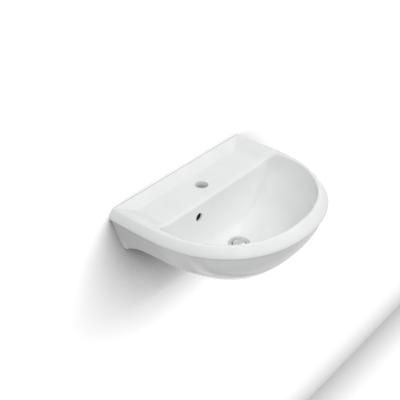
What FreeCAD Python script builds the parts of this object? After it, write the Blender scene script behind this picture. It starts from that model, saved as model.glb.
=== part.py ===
import FreeCAD, Part
import math
import os

# Wall hung wash basin in vitreous china, 550 mm class, with its sprung plug waste and wall fixings.
# Frame: millimetres. Z up, X along the wall, -Y out into the room.
# The origin is the middle of the rim's straight rear edge, where the rim top meets the wall.
# Places across the basin are given as a half width in X and a distance from the wall, out along -Y.

V = FreeCAD.Vector
UP = V(0, 0, 1)
OUT_OF_WALL = V(0, -1, 0)

# ---- rim, seen from above ----
WIDTH = 550.0                # widest line of the rim, side to side
DEPTH = 430.0                # wall to the foremost point of that line
BAND_DROP = 26.0             # crest down to the widest line
BAND_SIDE_LEAN = 16.0        # crest lies this far inside the widest line at the sides
BAND_FRONT_LEAN = 24.0       # and this far at the front
BAND_ROUNDING = 1.5          # how the band curves from crest to widest line: 1 is a flat chamfer
WALL_TAPER = 2.5             # the rim is this much narrower each side where it meets the wall
STRAIGHT_SIDE = 138.0        # wall to where the front curve begins
FRONT_FULLNESS = 2.2         # exponent of the front curve: 2 is an ellipse
CREST_LAND = 4.0             # flat top of the crest
BAND_UNDERCUT = 5.0          # the band turns back under by this much
UNDERCUT_HEIGHT = 5.0        # in this height

# ---- tap deck, sunk inside the rim ----
DECK_DROP = 18.0             # crest down to the deck
DECK_SIDE_INSET = 72.0       # widest line in to the foot of the rim's inner slope at the sides
DECK_REAR = 36.0             # wall to the foot of the rear slope
DECK_THICKNESS = 13.0
DISH_FRONT_INSET = 85.0      # widest line in to the foot of the rim's inner slope at the front

# ---- bowl, inside ----
BOWL_DEPTH = 153.0           # crest to the floor beside the outlet
FLOOR_FALL = 6.0             # fall of the floor toward the outlet
FLOOR_FALL_REACH = 36.0      # outlet axis to where the fall ends
BOWL_SIDE_INSET = 30.0       # widest line in to the bowl's walls, at the crest's level
BOWL_FRONT_INSET = 34.0
BOWL_TOP_REAR = 137.0        # the deck's front edge
BOWL_CORNER_R = 33.0         # upright corners between rear wall and side walls
BOWL_SIDE_DRAW = 147.0       # how far the side walls come in on the way down to the floor
BOWL_FRONT_DRAW = 105.0
BOWL_REAR_DRAW = 32.0
BOWL_ROUNDNESS = 2.2         # exponent of the wall's upright profile

# ---- bowl, outside ----
FLOOR_THICKNESS = 19.0       # floor beside the outlet down to the flat underside
SHELL_TOP_INSET = 6.0        # below the band the shell stands this far inside the widest line
SHELL_SIDE_DRAW = 100.0      # how far the shell comes in at the sides, down to the underside
SHELL_SIDE_CURVE = 1.9
SHELL_FRONT_DRAW = 90.5
SHELL_FRONT_CURVE = 1.72
BULGE_START = 210.0          # wall to where the bowl begins to bulge out of the flanks
BULGE_END = 290.0            # and to where it has its full width
FLANK_COVER = 3.0            # behind that the shell lies this far inside the flanks' faces
SHELL_CORNER_R = 45.0        # upright corners at its rear
REAR_WALL = 14.0             # thickness of the bowl's rear wall at the top
SHELL_REAR_DRAW = 45.0

# ---- flanks that join the bowl to the wall ----
FLANK_DROP = 120.0           # crest to the flanks' lower edge
FLANK_TOP_INSET = 7.0
FLANK_DRAW = 43.0            # how far a flank leans in over its height
FLANK_FRONT_INSET = 30.0     # the flanks' front curve starts this far inside the widest line
FLANK_FRONT_DRAW = 40.0
FLANK_FLARE = 12.0           # a flank's lower edge spreads out this much at the wall
FLANK_SWEEP_OUT = 80.0       # wall to where that edge begins to sweep down to the panel
FLANK_SWEEP_R = 120.0        # in an arc of this radius
FLANK_THICKNESS = 12.0

# ---- panel against the wall ----
PANEL_THICKNESS = 14.0
PANEL_DROP = 142.0           # crest to the panel's lower edge
PANEL_CORNER_R = 8.0
WALL_CUT = 3.0               # the china is shaped this far past the wall plane, then cut off flat on it

# ---- tap hole ----
TAP_HOLE_R = 17.5
TAP_HOLE_OUT = 81.0          # wall to the hole's axis

# ---- overflow, cast into the rear wall ----
OVERFLOW_R = 12.0
OVERFLOW_OFFSET = 78.0       # left of the middle, seen from the room
OVERFLOW_DROP = 61.0         # crest to the hole's axis
DUCT_WIDTH = 28.0
DUCT_DEPTH = 11.0
DUCT_WALL = 7.0
DUCT_HEIGHT = 9.0            # of the level run under the floor

# ---- waste outlet ----
OUTLET_OUT = 214.0           # wall to the outlet's axis
OUTLET_R = 23.0              # hole through the floor
OUTLET_BOSS_R = 46.0         # thickening under the floor
OUTLET_BOSS_DROP = 12.0      # how far it stands below the flat underside
SEAT_R = 31.0                # recess that takes the flange
SEAT_DEPTH = 4.5

FLANGE_R = 30.0
FLANGE_THICKNESS = 2.7
FLANGE_BEVEL = 2.4           # of its top edge, half as deep as wide
HUB_R = 22.3
HUB_HEIGHT = 8.0
TAIL_R = 20.95               # 1 1/4 inch pipe thread, over the crests
TAIL_WALL = 2.75
TAIL_LENGTH = 82.0           # below the flange's underside
TAIL_END_CHAMFER = 1.0
TRAP_THREAD_LENGTH = 31.0    # at the tail's free end, for the trap
THREAD_RELIEF = 2.0          # plain groove between the trap's thread and the back nut's
THREAD_RELIEF_DEPTH = 0.7
THROAT_R = 20.5              # mouth of the cone that the plug closes
THROAT_SEAT_R = 16.0
THROAT_DEPTH = 7.0
THROAT_LAND = 2.0
SLOT_WIDTH = 15.0            # overflow slots through the tail
SLOT_HEIGHT = 8.0
BRIDGE_THICKNESS = 5.0       # bar across the tail that carries the click cartridge
BRIDGE_WIDTH = 9.0
BRIDGE_BOSS_R = 7.0

TOP_SEAL_THICKNESS = 1.5
TOP_SEAL_R = 28.5
TAIL_CLEARANCE = 0.25        # washers and nut round the tail
CONE_WASHER_R = 31.0
CONE_WASHER_TIP_R = 25.0
CONE_WASHER_THICKNESS = 7.0
SLIP_WASHER_R = 30.0
SLIP_WASHER_THICKNESS = 1.5
BACK_NUT_FLATS = 54.0        # across the flats
BACK_NUT_THICKNESS = 9.0
BACK_NUT_FLANGE_R = 29.5
BACK_NUT_FLANGE_THICKNESS = 2.0

# ---- plug ----
PLUG_R = 17.5
PLUG_THICKNESS = 3.0
PLUG_CROWN = 1.2             # rise of its domed top
PLUG_SINK = 1.0              # closed, its edge lies this far under the flange's top
PLUG_TRAVEL = 7.0            # closed to open
PLUG_BOSS_R = 6.0
PLUG_BOSS_HEIGHT = 5.0
PLUG_SEAL_THICKNESS = 2.2
SEAT_CLEARANCE = 0.3         # plug seal to the throat's cone when closed

# ---- click cartridge ----
STEM_R = 3.0
STEM_THREAD_LENGTH = 5.5     # of the stem inside the plug
SHAFT_CLEARANCE = 0.06       # radial, for what slides or turns
THREAD_CLEARANCE = 0.05      # radial, for what is screwed together
HEAD_R = 5.0
HEAD_HEIGHT = 4.0
BARREL_WALL = 1.6
BARREL_FLOOR = 2.0
BARREL_NECK_R = 4.0          # threaded neck through the bridge
COLLAR_HEIGHT = 3.0
COLLAR_OVER_BARREL = 4.0     # how far the collar's skirt reaches down the barrel
COLLAR_WALL = 1.2
COLLAR_GAP = 1.5             # plug boss to the collar when closed
ROTOR_HEIGHT = 3.0
ROTOR_TEETH = 8
ROTOR_TOOTH = 0.8            # height of the ratchet teeth
ROTOR_TOOTH_WIDTH = 1.2
ROTOR_TOOTH_INSET = 0.4      # teeth stop this far from the ring's edges
ROTOR_BORE_R = 1.4
STACK_GAP = 0.3              # between head, rotor and spring
SPRING_WIRE = 0.7
SPRING_MEAN_R = 3.9
SPRING_TURNS = 6
SPRING_CLOSED = 8.0          # its length with the plug down
NECK_NUT_FLATS = 13.0
NECK_NUT_THICKNESS = 4.0

# ---- wall fixings ----
FIXING_SPACING = 280.0
FIXING_DROP = 76.0           # crest to the fixing holes
FIXING_HOLE_R = 8.0
STUD_R = 5.0                 # M10
STUD_INTO_ROOM = 41.0        # wall to the stud's free end
SCREW_R = 4.4                # the stud's end in the wall
SCREW_LENGTH = 59.0
SCREW_POINT = 8.0
FIT_GAP = 0.2                # radial, for loose pieces on the stud
BUSH_R = 7.7
BUSH_REACH = 12.0            # sleeve inside the hole
BUSH_COLLAR_R = 14.0
BUSH_COLLAR_THICKNESS = 3.0
WASHER_R = 12.0
WASHER_THICKNESS = 2.0
NUT_FLATS = 17.0
NUT_THICKNESS = 8.0
CAP_R = 13.0
CAP_WALL = 1.5

# ---- levels and places that follow ----
HALF_WIDTH = WIDTH / 2
BAND_FOOT_Z = -(BAND_DROP + UNDERCUT_HEIGHT)
DECK_HALF_WIDTH = HALF_WIDTH - DECK_SIDE_INSET
DISH_FRONT = DEPTH - DISH_FRONT_INSET
BOWL_TOP_HALF_WIDTH = HALF_WIDTH - BOWL_SIDE_INSET
BOWL_TOP_FRONT = DEPTH - BOWL_FRONT_INSET
DECK_Z = -DECK_DROP
DECK_UNDERSIDE_Z = DECK_Z - DECK_THICKNESS
FLOOR_Z = -BOWL_DEPTH
SEAT_Z = FLOOR_Z - SEAT_DEPTH
UNDERSIDE_Z = FLOOR_Z - FLOOR_THICKNESS
OUTLET_FOOT_Z = UNDERSIDE_Z - OUTLET_BOSS_DROP
FLANK_FOOT_Z = -FLANK_DROP
PANEL_LEAN = (PANEL_DROP - BAND_DROP) / (FLANK_DROP - BAND_DROP)
OUTLET = V(0, -OUTLET_OUT, 0)
FLANGE_UNDERSIDE_Z = SEAT_Z + TOP_SEAL_THICKNESS
FLANGE_TOP_Z = FLANGE_UNDERSIDE_Z + FLANGE_THICKNESS
TAIL_END_Z = FLANGE_UNDERSIDE_Z - TAIL_LENGTH
TAIL_BORE_R = TAIL_R - TAIL_WALL
PLUG_EDGE_Z = FLANGE_TOP_Z - PLUG_SINK
PLUG_UNDERSIDE_Z = PLUG_EDGE_Z - PLUG_THICKNESS
PLUG_SEAL_FOOT_Z = PLUG_UNDERSIDE_Z - PLUG_SEAL_THICKNESS
PLUG_BOSS_FOOT_Z = PLUG_UNDERSIDE_Z - PLUG_BOSS_HEIGHT
COLLAR_TOP_Z = PLUG_BOSS_FOOT_Z - COLLAR_GAP
CHAMBER_TOP_Z = COLLAR_TOP_Z - COLLAR_HEIGHT
HEAD_TOP_Z = CHAMBER_TOP_Z - STACK_GAP - PLUG_TRAVEL
HEAD_FOOT_Z = HEAD_TOP_Z - HEAD_HEIGHT
ROTOR_TOP_Z = HEAD_FOOT_Z - STACK_GAP
ROTOR_FOOT_Z = ROTOR_TOP_Z - ROTOR_HEIGHT
SPRING_TOP_Z = ROTOR_FOOT_Z - STACK_GAP
SPRING_FOOT_Z = SPRING_TOP_Z - SPRING_CLOSED
CHAMBER_FLOOR_Z = SPRING_FOOT_Z
BARREL_FOOT_Z = CHAMBER_FLOOR_Z - BARREL_FLOOR
BRIDGE_FOOT_Z = BARREL_FOOT_Z - BRIDGE_THICKNESS
CHAMBER_R = HEAD_R + SHAFT_CLEARANCE
BARREL_R = CHAMBER_R + BARREL_WALL
OVERFLOW = V(-OVERFLOW_OFFSET, -BOWL_TOP_REAR, -OVERFLOW_DROP)
PANEL_FACE_Y = -PANEL_THICKNESS
BUSH_FACE_Y = PANEL_FACE_Y - BUSH_COLLAR_THICKNESS
WASHER_FACE_Y = BUSH_FACE_Y - WASHER_THICKNESS
NUT_FACE_Y = WASHER_FACE_Y - NUT_THICKNESS

LIP_R = 5.0                  # rounding of the deck's front edge
TAP_LIP_R = 2.0
BAND_FOOT_R = 2.0            # rounding of the band's lower edge
UNDERSIDE_R = 8.0            # rounding round the flat underside

CURVE_STEPS = 14             # points on each quarter of a plan curve
LEVELS = 8                   # sections in each drawn-in wall


# ---------------------------------------------------------------- curves and solids

def spline(points):
    """Smooth edge through the points."""
    curve = Part.BSplineCurve()
    curve.interpolate(points)
    return curve.toShape()


def closed_wire(edges):
    return Part.Wire(Part.__sortEdges__(edges))


def front_point(half_width, start, front, angle, z, fullness=FRONT_FULLNESS):
    """Point of the front curve: 0 is its right end, 90 degrees the foremost point."""
    power = 2.0 / fullness
    c = math.cos(angle)
    x = half_width * math.copysign(abs(c) ** power, c)
    out = start + (front - start) * abs(math.sin(angle)) ** power
    return V(x, -out, z)


def side_x(half_width, front, out):
    """Half width of the rim's plan family at a distance from the wall."""
    if out <= STRAIGHT_SIDE:
        return half_width
    span = min((out - STRAIGHT_SIDE) / (front - STRAIGHT_SIDE), 1.0)
    return half_width * (1 - span ** FRONT_FULLNESS) ** (1 / FRONT_FULLNESS)


def rim_outline(half_width, wall_half_width, rear, front, z):
    """Plan of the rim at one level: a straight rear edge, near-straight sides and a round front."""
    right = []
    for i in range(4):
        u = i / 4.0
        x = half_width - (half_width - wall_half_width) * (1 - u) ** 2
        right.append(V(x, -(rear + (STRAIGHT_SIDE - rear) * u), z))
    for i in range(CURVE_STEPS):
        right.append(front_point(half_width, STRAIGHT_SIDE, front, i * math.pi / 2 / CURVE_STEPS, z))
    left = [V(-p.x, p.y, z) for p in reversed(right)]
    points = right + [V(0, -front, z)] + left
    return closed_wire([spline(points), Part.makeLine(points[-1], points[0])])


def bowl_outline(half_width, rear, front, corner, z):
    """Plan of the bowl inside: flat rear wall, two upright corners, round front."""
    start = rear + corner
    curve = [front_point(half_width, start, front, i * math.pi / 2 / CURVE_STEPS, z)
             for i in range(2 * CURVE_STEPS + 1)]
    flat = half_width - corner
    slant = corner * math.sqrt(0.5)
    edges = [spline(curve)]
    edges.append(Part.Arc(curve[-1], V(-flat - slant, -(start - slant), z), V(-flat, -rear, z)).toShape())
    edges.append(Part.makeLine(V(-flat, -rear, z), V(flat, -rear, z)))
    edges.append(Part.Arc(V(flat, -rear, z), V(flat + slant, -(start - slant), z), curve[0]).toShape())
    return closed_wire(edges)


def shell_outline(half_width, rear, front, z):
    """Plan of the bowl outside: the rim's front curve, narrowing into the flanks and closed by a flat rear."""
    lean = (z + BAND_DROP) / (FLANK_FOOT_Z + BAND_DROP)
    aft_half = min(HALF_WIDTH - FLANK_TOP_INSET - FLANK_DRAW * lean - FLANK_COVER, half_width)
    aft_front = min(DEPTH - FLANK_FRONT_INSET - FLANK_FRONT_DRAW * lean - FLANK_COVER, front)
    turn = rear + SHELL_CORNER_R
    right = []
    for i in range(2 * CURVE_STEPS):
        out = turn + (front - turn) * math.sin(math.pi / 2 * i / (2 * CURVE_STEPS))
        t = min(max((out - BULGE_START) / (BULGE_END - BULGE_START), 0.0), 1.0)
        bulge = t * t * (3 - 2 * t)
        x = side_x(aft_half, aft_front, out) * (1 - bulge) + side_x(half_width, front, out) * bulge
        right.append(V(x, -out, z))
    left = [V(-p.x, p.y, z) for p in reversed(right)]
    waist = right[0].x
    flat = waist - SHELL_CORNER_R
    slant = SHELL_CORNER_R * math.sqrt(0.5)
    edges = [spline(right + [V(0, -front, z)] + left), Part.makeLine(V(-flat, -rear, z), V(flat, -rear, z))]
    for side in (-1, 1):
        edges.append(Part.Arc(V(side * waist, -turn, z), V(side * (flat + slant), -(turn - slant), z),
                              V(side * flat, -rear, z)).toShape())
    return closed_wire(edges)


def loft(wires, straight=False):
    return Part.makeLoft(wires, True, straight)


def disc(radius, top, thickness, axis=OUTLET):
    return Part.makeCylinder(radius, thickness, V(axis.x, axis.y, top - thickness))


def ring(outer, inner, top, thickness, axis=OUTLET):
    return disc(outer, top, thickness, axis).cut(disc(inner, top, thickness, axis))


def turned(profile, axis=OUTLET):
    """Solid of revolution about an upright axis, from (radius, z) points."""
    points = [V(axis.x + r, axis.y, z) for r, z in profile]
    return Part.Face(Part.makePolygon(points + [points[0]])).revolve(axis, UP, 360)


def hexagon(flats, top, thickness, axis=OUTLET):
    radius = flats / 2 / math.cos(math.pi / 6)
    corners = [V(axis.x + radius * math.cos(math.radians(a)), axis.y + radius * math.sin(math.radians(a)),
                 top - thickness) for a in range(0, 360, 60)]
    return Part.Face(Part.makePolygon(corners + [corners[0]])).extrude(V(0, 0, thickness))


def box(low, high):
    return Part.makeBox(high.x - low.x, high.y - low.y, high.z - low.z, low)


def edges_within(shape, low, high):
    """Edges whose bounds lie inside the box from low to high."""
    room = FreeCAD.BoundBox(low, high)
    return [e for e in shape.Edges if room.isInside(e.BoundBox)]


def one_solid(shape):
    """The single solid of a boolean result."""
    return shape.Solids[0]


# ---------------------------------------------------------------- the china body

def rim_slab():
    """Band and crest, solid down to the underside of the deck."""
    wires = []
    for i in range(5):
        u = i / 4.0
        lean = (1 - u) ** BAND_ROUNDING
        half = HALF_WIDTH - BAND_SIDE_LEAN * lean
        wires.append(rim_outline(half, half - WALL_TAPER, -WALL_CUT, DEPTH - BAND_FRONT_LEAN * lean, -BAND_DROP * u))
    half = HALF_WIDTH - BAND_UNDERCUT
    foot = rim_outline(half, half - WALL_TAPER, -WALL_CUT, DEPTH - BAND_UNDERCUT, BAND_FOOT_Z)
    return loft(wires).fuse(loft([wires[-1], foot], True))


def bowl_shell():
    """Outside of the bowl, as a solid."""
    wires = []
    for i in range(LEVELS + 1):
        u = i / float(LEVELS)
        half = HALF_WIDTH - SHELL_TOP_INSET - SHELL_SIDE_DRAW * u ** SHELL_SIDE_CURVE
        front = DEPTH - SHELL_TOP_INSET - SHELL_FRONT_DRAW * u ** SHELL_FRONT_CURVE
        rear = BOWL_TOP_REAR - REAR_WALL + SHELL_REAR_DRAW * u ** 2
        wires.append(shell_outline(half, rear, front, -BAND_DROP + (UNDERSIDE_Z + BAND_DROP) * u))
    return loft(wires)


def flank_block(inset, rear):
    """The flanks filled in down to the panel's lower edge, drawn in by inset all round."""
    wires = []
    for u in (0.0, PANEL_LEAN):
        half = HALF_WIDTH - FLANK_TOP_INSET - FLANK_DRAW * u - inset
        front = DEPTH - FLANK_FRONT_INSET - FLANK_FRONT_DRAW * u - inset
        z = -BAND_DROP + (FLANK_FOOT_Z + BAND_DROP) * u
        wires.append(rim_outline(half, half + FLANK_FLARE * u, rear, front, z))
    return loft(wires, True)


def under_flanks():
    """Space below the flanks' lower edge, which is level in the room and sweeps down to the panel's face."""
    turn = (FLANK_SWEEP_OUT + PANEL_THICKNESS) / 2
    points = [(out, FLANK_FOOT_Z - FLANK_SWEEP_R + math.sqrt(FLANK_SWEEP_R ** 2 - (FLANK_SWEEP_OUT - out) ** 2))
              for out in (FLANK_SWEEP_OUT, turn, PANEL_THICKNESS)]
    sweep = Part.Arc(*[V(-WIDTH, -out, z) for out, z in points]).toShape()
    rest = [points[-1], (-2 * WALL_CUT, points[-1][1]), (-2 * WALL_CUT, -2 * PANEL_DROP),
            (DEPTH, -2 * PANEL_DROP), (DEPTH, FLANK_FOOT_Z), points[0]]
    side = Part.makePolygon([V(-WIDTH, -out, z) for out, z in rest])
    return Part.Face(closed_wire([sweep] + side.Edges)).extrude(V(2 * WIDTH, 0, 0))


def flanks():
    """Two flank walls and the upper part of the wall panel, with the hollow under the deck open below."""
    walls = flank_block(0, -WALL_CUT).cut(flank_block(FLANK_THICKNESS, PANEL_THICKNESS))
    return walls.cut(under_flanks())


def wall_panel():
    """Lower part of the panel, whose sides carry on the flanks' lean, with rounded bottom corners."""
    top = HALF_WIDTH - FLANK_TOP_INSET - FLANK_DRAW + FLANK_FLARE
    foot = HALF_WIDTH - FLANK_TOP_INSET - (FLANK_DRAW - FLANK_FLARE) * PANEL_LEAN
    corners = [(-top, FLANK_FOOT_Z), (-foot, -PANEL_DROP), (foot, -PANEL_DROP), (top, FLANK_FOOT_Z)]
    points = [V(x, -PANEL_THICKNESS, z) for x, z in corners]
    block = Part.Face(Part.makePolygon(points + [points[0]])).extrude(V(0, PANEL_THICKNESS + WALL_CUT, 0))
    bottom = [e for e in block.Edges
              if abs(e.BoundBox.ZMax + PANEL_DROP) < 0.01 and e.BoundBox.YLength > PANEL_THICKNESS / 2]
    return block.makeFillet(PANEL_CORNER_R, bottom)


def overflow_duct(grow):
    """Duct from the overflow hole down behind the bowl and along to the outlet; grow thickens it to its casing."""
    half = DUCT_WIDTH / 2 + grow
    fore = -(BOWL_TOP_REAR - REAR_WALL) + DUCT_WALL / 2
    low = (SEAT_Z + OUTLET_FOOT_Z) / 2 - DUCT_HEIGHT / 2
    drop = box(V(-OVERFLOW_OFFSET - half, fore - grow, low - grow),
               V(-OVERFLOW_OFFSET + half, fore + DUCT_DEPTH + grow, -OVERFLOW_DROP + OVERFLOW_R + grow))
    start = V(-OVERFLOW_OFFSET, fore + DUCT_DEPTH / 2, low - grow)
    run = V(OUTLET.x - start.x, OUTLET.y - start.y, 0)
    level = box(V(-half, 0, 0), V(half, run.Length, DUCT_HEIGHT + 2 * grow))
    level.rotate(V(0, 0, 0), UP, math.degrees(math.atan2(run.y, run.x)) - 90)
    level.translate(start)
    return drop.fuse(level)


def dish():
    """Space above the deck, with the rim's inner slopes; it reaches a little over the crest."""
    wires = []
    for u in (-0.2, 1.0):
        half = (HALF_WIDTH - BAND_SIDE_LEAN - CREST_LAND) * (1 - u) + DECK_HALF_WIDTH * u
        rear = CREST_LAND * (1 - u) + DECK_REAR * u
        front = (DEPTH - BAND_FRONT_LEAN - CREST_LAND) * (1 - u) + DISH_FRONT * u
        wires.append(rim_outline(half, half - WALL_TAPER * (1 - u), rear, front, DECK_Z * u))
    return loft(wires, True)


def bowl_space():
    """Space inside the bowl, from the crest's level to the floor."""
    wires = []
    for i in range(LEVELS + 1):
        u = math.sin(math.pi / 2 * i / LEVELS)
        draw = 1 - (1 - u ** BOWL_ROUNDNESS) ** (1 / BOWL_ROUNDNESS)
        wires.append(bowl_outline(BOWL_TOP_HALF_WIDTH - BOWL_SIDE_DRAW * draw,
                                  BOWL_TOP_REAR + BOWL_REAR_DRAW * draw,
                                  BOWL_TOP_FRONT - BOWL_FRONT_DRAW * draw,
                                  BOWL_CORNER_R, (FLOOR_FALL - BOWL_DEPTH) * u))
    fall = bowl_outline(FLOOR_FALL_REACH, OUTLET_OUT - FLOOR_FALL_REACH, OUTLET_OUT + FLOOR_FALL_REACH,
                        BOWL_CORNER_R, FLOOR_Z)
    return loft(wires).fuse(loft([wires[-1], fall], True))


def overflow_passage():
    """Round hole in the rear wall and the duct behind it."""
    depth = BOWL_REAR_DRAW + REAR_WALL
    hole = Part.makeCylinder(OVERFLOW_R, depth, OVERFLOW - V(0, BOWL_REAR_DRAW, 0), V(0, 1, 0))
    return hole.fuse(overflow_duct(0))


def fixing_places():
    return [V(side * FIXING_SPACING / 2, 0, -FIXING_DROP) for side in (-1, 1)]


def basin_body():
    body = rim_slab()
    boss = disc(OUTLET_BOSS_R, FLOOR_Z, FLOOR_THICKNESS + OUTLET_BOSS_DROP)
    for piece in (bowl_shell(), flanks(), wall_panel(), overflow_duct(DUCT_WALL), boss):
        body = body.fuse(piece)
    body = body.cut(dish()).cut(bowl_space()).cut(overflow_passage())
    body = body.cut(disc(SEAT_R, FLOOR_Z + SEAT_DEPTH, 2 * SEAT_DEPTH))
    body = body.cut(disc(OUTLET_R, 0, 2 * BOWL_DEPTH))
    body = body.cut(disc(TAP_HOLE_R, 0, FIXING_DROP, V(0, -TAP_HOLE_OUT, 0)))
    body = body.cut(box(V(-WIDTH, 0, -2 * BOWL_DEPTH), V(WIDTH, 2 * WALL_CUT, BOWL_DEPTH)))
    for place in fixing_places():
        body = body.cut(Part.makeCylinder(FIXING_HOLE_R, 2 * PANEL_THICKNESS, place, OUT_OF_WALL))
    return rounded(one_solid(body))


def rounded(body):
    """Roundings of the deck's front edge, the tap hole's lip, the band's foot and the flat underside."""
    reach = DECK_HALF_WIDTH + 1
    near_lip = BOWL_TOP_REAR + 1
    lip = edges_within(body, V(-reach, -near_lip, DECK_Z - 1), V(reach, 2 - near_lip, DECK_Z + 1))
    body = body.makeFillet(LIP_R, lip)
    hole = TAP_HOLE_R + 1
    tap = edges_within(body, V(-hole, -TAP_HOLE_OUT - hole, DECK_Z - 1), V(hole, hole - TAP_HOLE_OUT, DECK_Z + 1))
    body = body.makeFillet(TAP_LIP_R, tap)
    low = V(-WIDTH, -DEPTH - 1, BAND_FOOT_Z - 1)
    band = [e for e in edges_within(body, low, V(WIDTH, 1, BAND_FOOT_Z + 1)) if e.BoundBox.XLength > WIDTH - 20]
    body = body.makeFillet(BAND_FOOT_R, band)
    low = V(-WIDTH, -DEPTH - 1, UNDERSIDE_Z - 1)
    flat = [e for e in edges_within(body, low, V(WIDTH, 1, UNDERSIDE_Z + 1)) if e.BoundBox.XLength > WIDTH / 2]
    return body.makeFillet(UNDERSIDE_R, flat).Solids[0]


# ---------------------------------------------------------------- waste

def waste_body():
    """Flange, throat, slotted tail and the bridge that carries the cartridge."""
    land_z = FLANGE_TOP_Z - THROAT_DEPTH
    bore_z = land_z - THROAT_LAND
    chamfer_z = TAIL_END_Z + TAIL_END_CHAMFER
    relief_foot = chamfer_z + TRAP_THREAD_LENGTH
    relief_top = relief_foot + THREAD_RELIEF
    relief_r = TAIL_R - THREAD_RELIEF_DEPTH
    body = turned([(THROAT_R, FLANGE_TOP_Z), (FLANGE_R - FLANGE_BEVEL, FLANGE_TOP_Z),
                   (FLANGE_R, FLANGE_TOP_Z - FLANGE_BEVEL / 2),
                   (FLANGE_R, FLANGE_UNDERSIDE_Z), (HUB_R, FLANGE_UNDERSIDE_Z),
                   (HUB_R, FLANGE_UNDERSIDE_Z - HUB_HEIGHT), (TAIL_R, FLANGE_UNDERSIDE_Z - HUB_HEIGHT),
                   (TAIL_R, relief_top), (relief_r, relief_top), (relief_r, relief_foot), (TAIL_R, relief_foot),
                   (TAIL_R, chamfer_z), (TAIL_R - TAIL_END_CHAMFER, TAIL_END_Z), (TAIL_BORE_R, TAIL_END_Z),
                   (TAIL_BORE_R, bore_z), (THROAT_SEAT_R, bore_z), (THROAT_SEAT_R, land_z)])
    bar = box(OUTLET + V(-TAIL_BORE_R - TAIL_WALL / 2, -BRIDGE_WIDTH / 2, BRIDGE_FOOT_Z),
              OUTLET + V(TAIL_BORE_R + TAIL_WALL / 2, BRIDGE_WIDTH / 2, BARREL_FOOT_Z))
    boss = disc(BRIDGE_BOSS_R, BARREL_FOOT_Z, BRIDGE_THICKNESS)
    body = body.fuse([bar, boss]).cut(disc(BARREL_NECK_R + THREAD_CLEARANCE, BARREL_FOOT_Z, BRIDGE_THICKNESS))
    middle = (SEAT_Z + OUTLET_FOOT_Z) / 2
    slot = box(OUTLET + V(-HUB_R - 1, -SLOT_WIDTH / 2, middle - SLOT_HEIGHT / 2),
               OUTLET + V(HUB_R + 1, SLOT_WIDTH / 2, middle + SLOT_HEIGHT / 2))
    return one_solid(body.cut(slot))


def waste_top_seal():
    return ring(TOP_SEAL_R, HUB_R + TAIL_CLEARANCE, FLANGE_UNDERSIDE_Z, TOP_SEAL_THICKNESS)


def waste_cone_washer():
    inner = TAIL_R + TAIL_CLEARANCE
    foot = OUTLET_FOOT_Z - CONE_WASHER_THICKNESS
    return turned([(inner, OUTLET_FOOT_Z), (CONE_WASHER_TIP_R, OUTLET_FOOT_Z),
                   (CONE_WASHER_R, foot + CONE_WASHER_THICKNESS / 2), (CONE_WASHER_R, foot), (inner, foot)])


def waste_slip_washer():
    return ring(SLIP_WASHER_R, TAIL_R + TAIL_CLEARANCE, OUTLET_FOOT_Z - CONE_WASHER_THICKNESS,
                SLIP_WASHER_THICKNESS)


def waste_back_nut():
    top = OUTLET_FOOT_Z - CONE_WASHER_THICKNESS - SLIP_WASHER_THICKNESS
    nut = hexagon(BACK_NUT_FLATS, top, BACK_NUT_THICKNESS)
    nut = nut.fuse(disc(BACK_NUT_FLANGE_R, top, BACK_NUT_FLANGE_THICKNESS))
    return one_solid(nut.cut(disc(TAIL_R + TAIL_CLEARANCE, top, BACK_NUT_THICKNESS)))


# ---------------------------------------------------------------- plug and click cartridge

def plug_cap():
    """Domed cap with a boss that screws onto the stem."""
    crown = PLUG_EDGE_Z + PLUG_CROWN
    hole = STEM_R + THREAD_CLEARANCE
    blind = PLUG_BOSS_FOOT_Z + STEM_THREAD_LENGTH + STACK_GAP
    edge = PLUG_EDGE_Z
    points = [V(0, 0, crown), V(PLUG_R / 2, 0, PLUG_EDGE_Z + 0.75 * PLUG_CROWN), V(PLUG_R, 0, edge)]
    dome = Part.Arc(*[p + OUTLET for p in points]).toShape()
    rest = [(PLUG_R, edge), (PLUG_R, PLUG_UNDERSIDE_Z), (PLUG_BOSS_R, PLUG_UNDERSIDE_Z),
            (PLUG_BOSS_R, PLUG_BOSS_FOOT_Z), (hole, PLUG_BOSS_FOOT_Z), (hole, blind), (0, blind), (0, crown)]
    side = Part.makePolygon([V(r, 0, z) + OUTLET for r, z in rest])
    return Part.Face(closed_wire([dome] + side.Edges)).revolve(OUTLET, UP, 360)


def plug_seal():
    """Rubber ring under the cap, coned to the throat."""
    slope = (THROAT_R - THROAT_SEAT_R) / THROAT_DEPTH
    foot_r = THROAT_R - slope * (FLANGE_TOP_Z - PLUG_SEAL_FOOT_Z) - SEAT_CLEARANCE
    top_r = min(PLUG_R, THROAT_R - slope * (FLANGE_TOP_Z - PLUG_UNDERSIDE_Z) - SEAT_CLEARANCE)
    inner = PLUG_BOSS_R + THREAD_CLEARANCE
    return turned([(inner, PLUG_UNDERSIDE_Z), (top_r, PLUG_UNDERSIDE_Z), (foot_r, PLUG_SEAL_FOOT_Z),
                   (inner, PLUG_SEAL_FOOT_Z)])


def plug_stem():
    """Plunger: threaded end in the cap, shaft through the collar, head in the chamber."""
    shaft_top = PLUG_BOSS_FOOT_Z + STEM_THREAD_LENGTH
    return turned([(0, shaft_top), (STEM_R, shaft_top), (STEM_R, HEAD_TOP_Z), (HEAD_R, HEAD_TOP_Z),
                   (HEAD_R, HEAD_FOOT_Z), (0, HEAD_FOOT_Z)])


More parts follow.
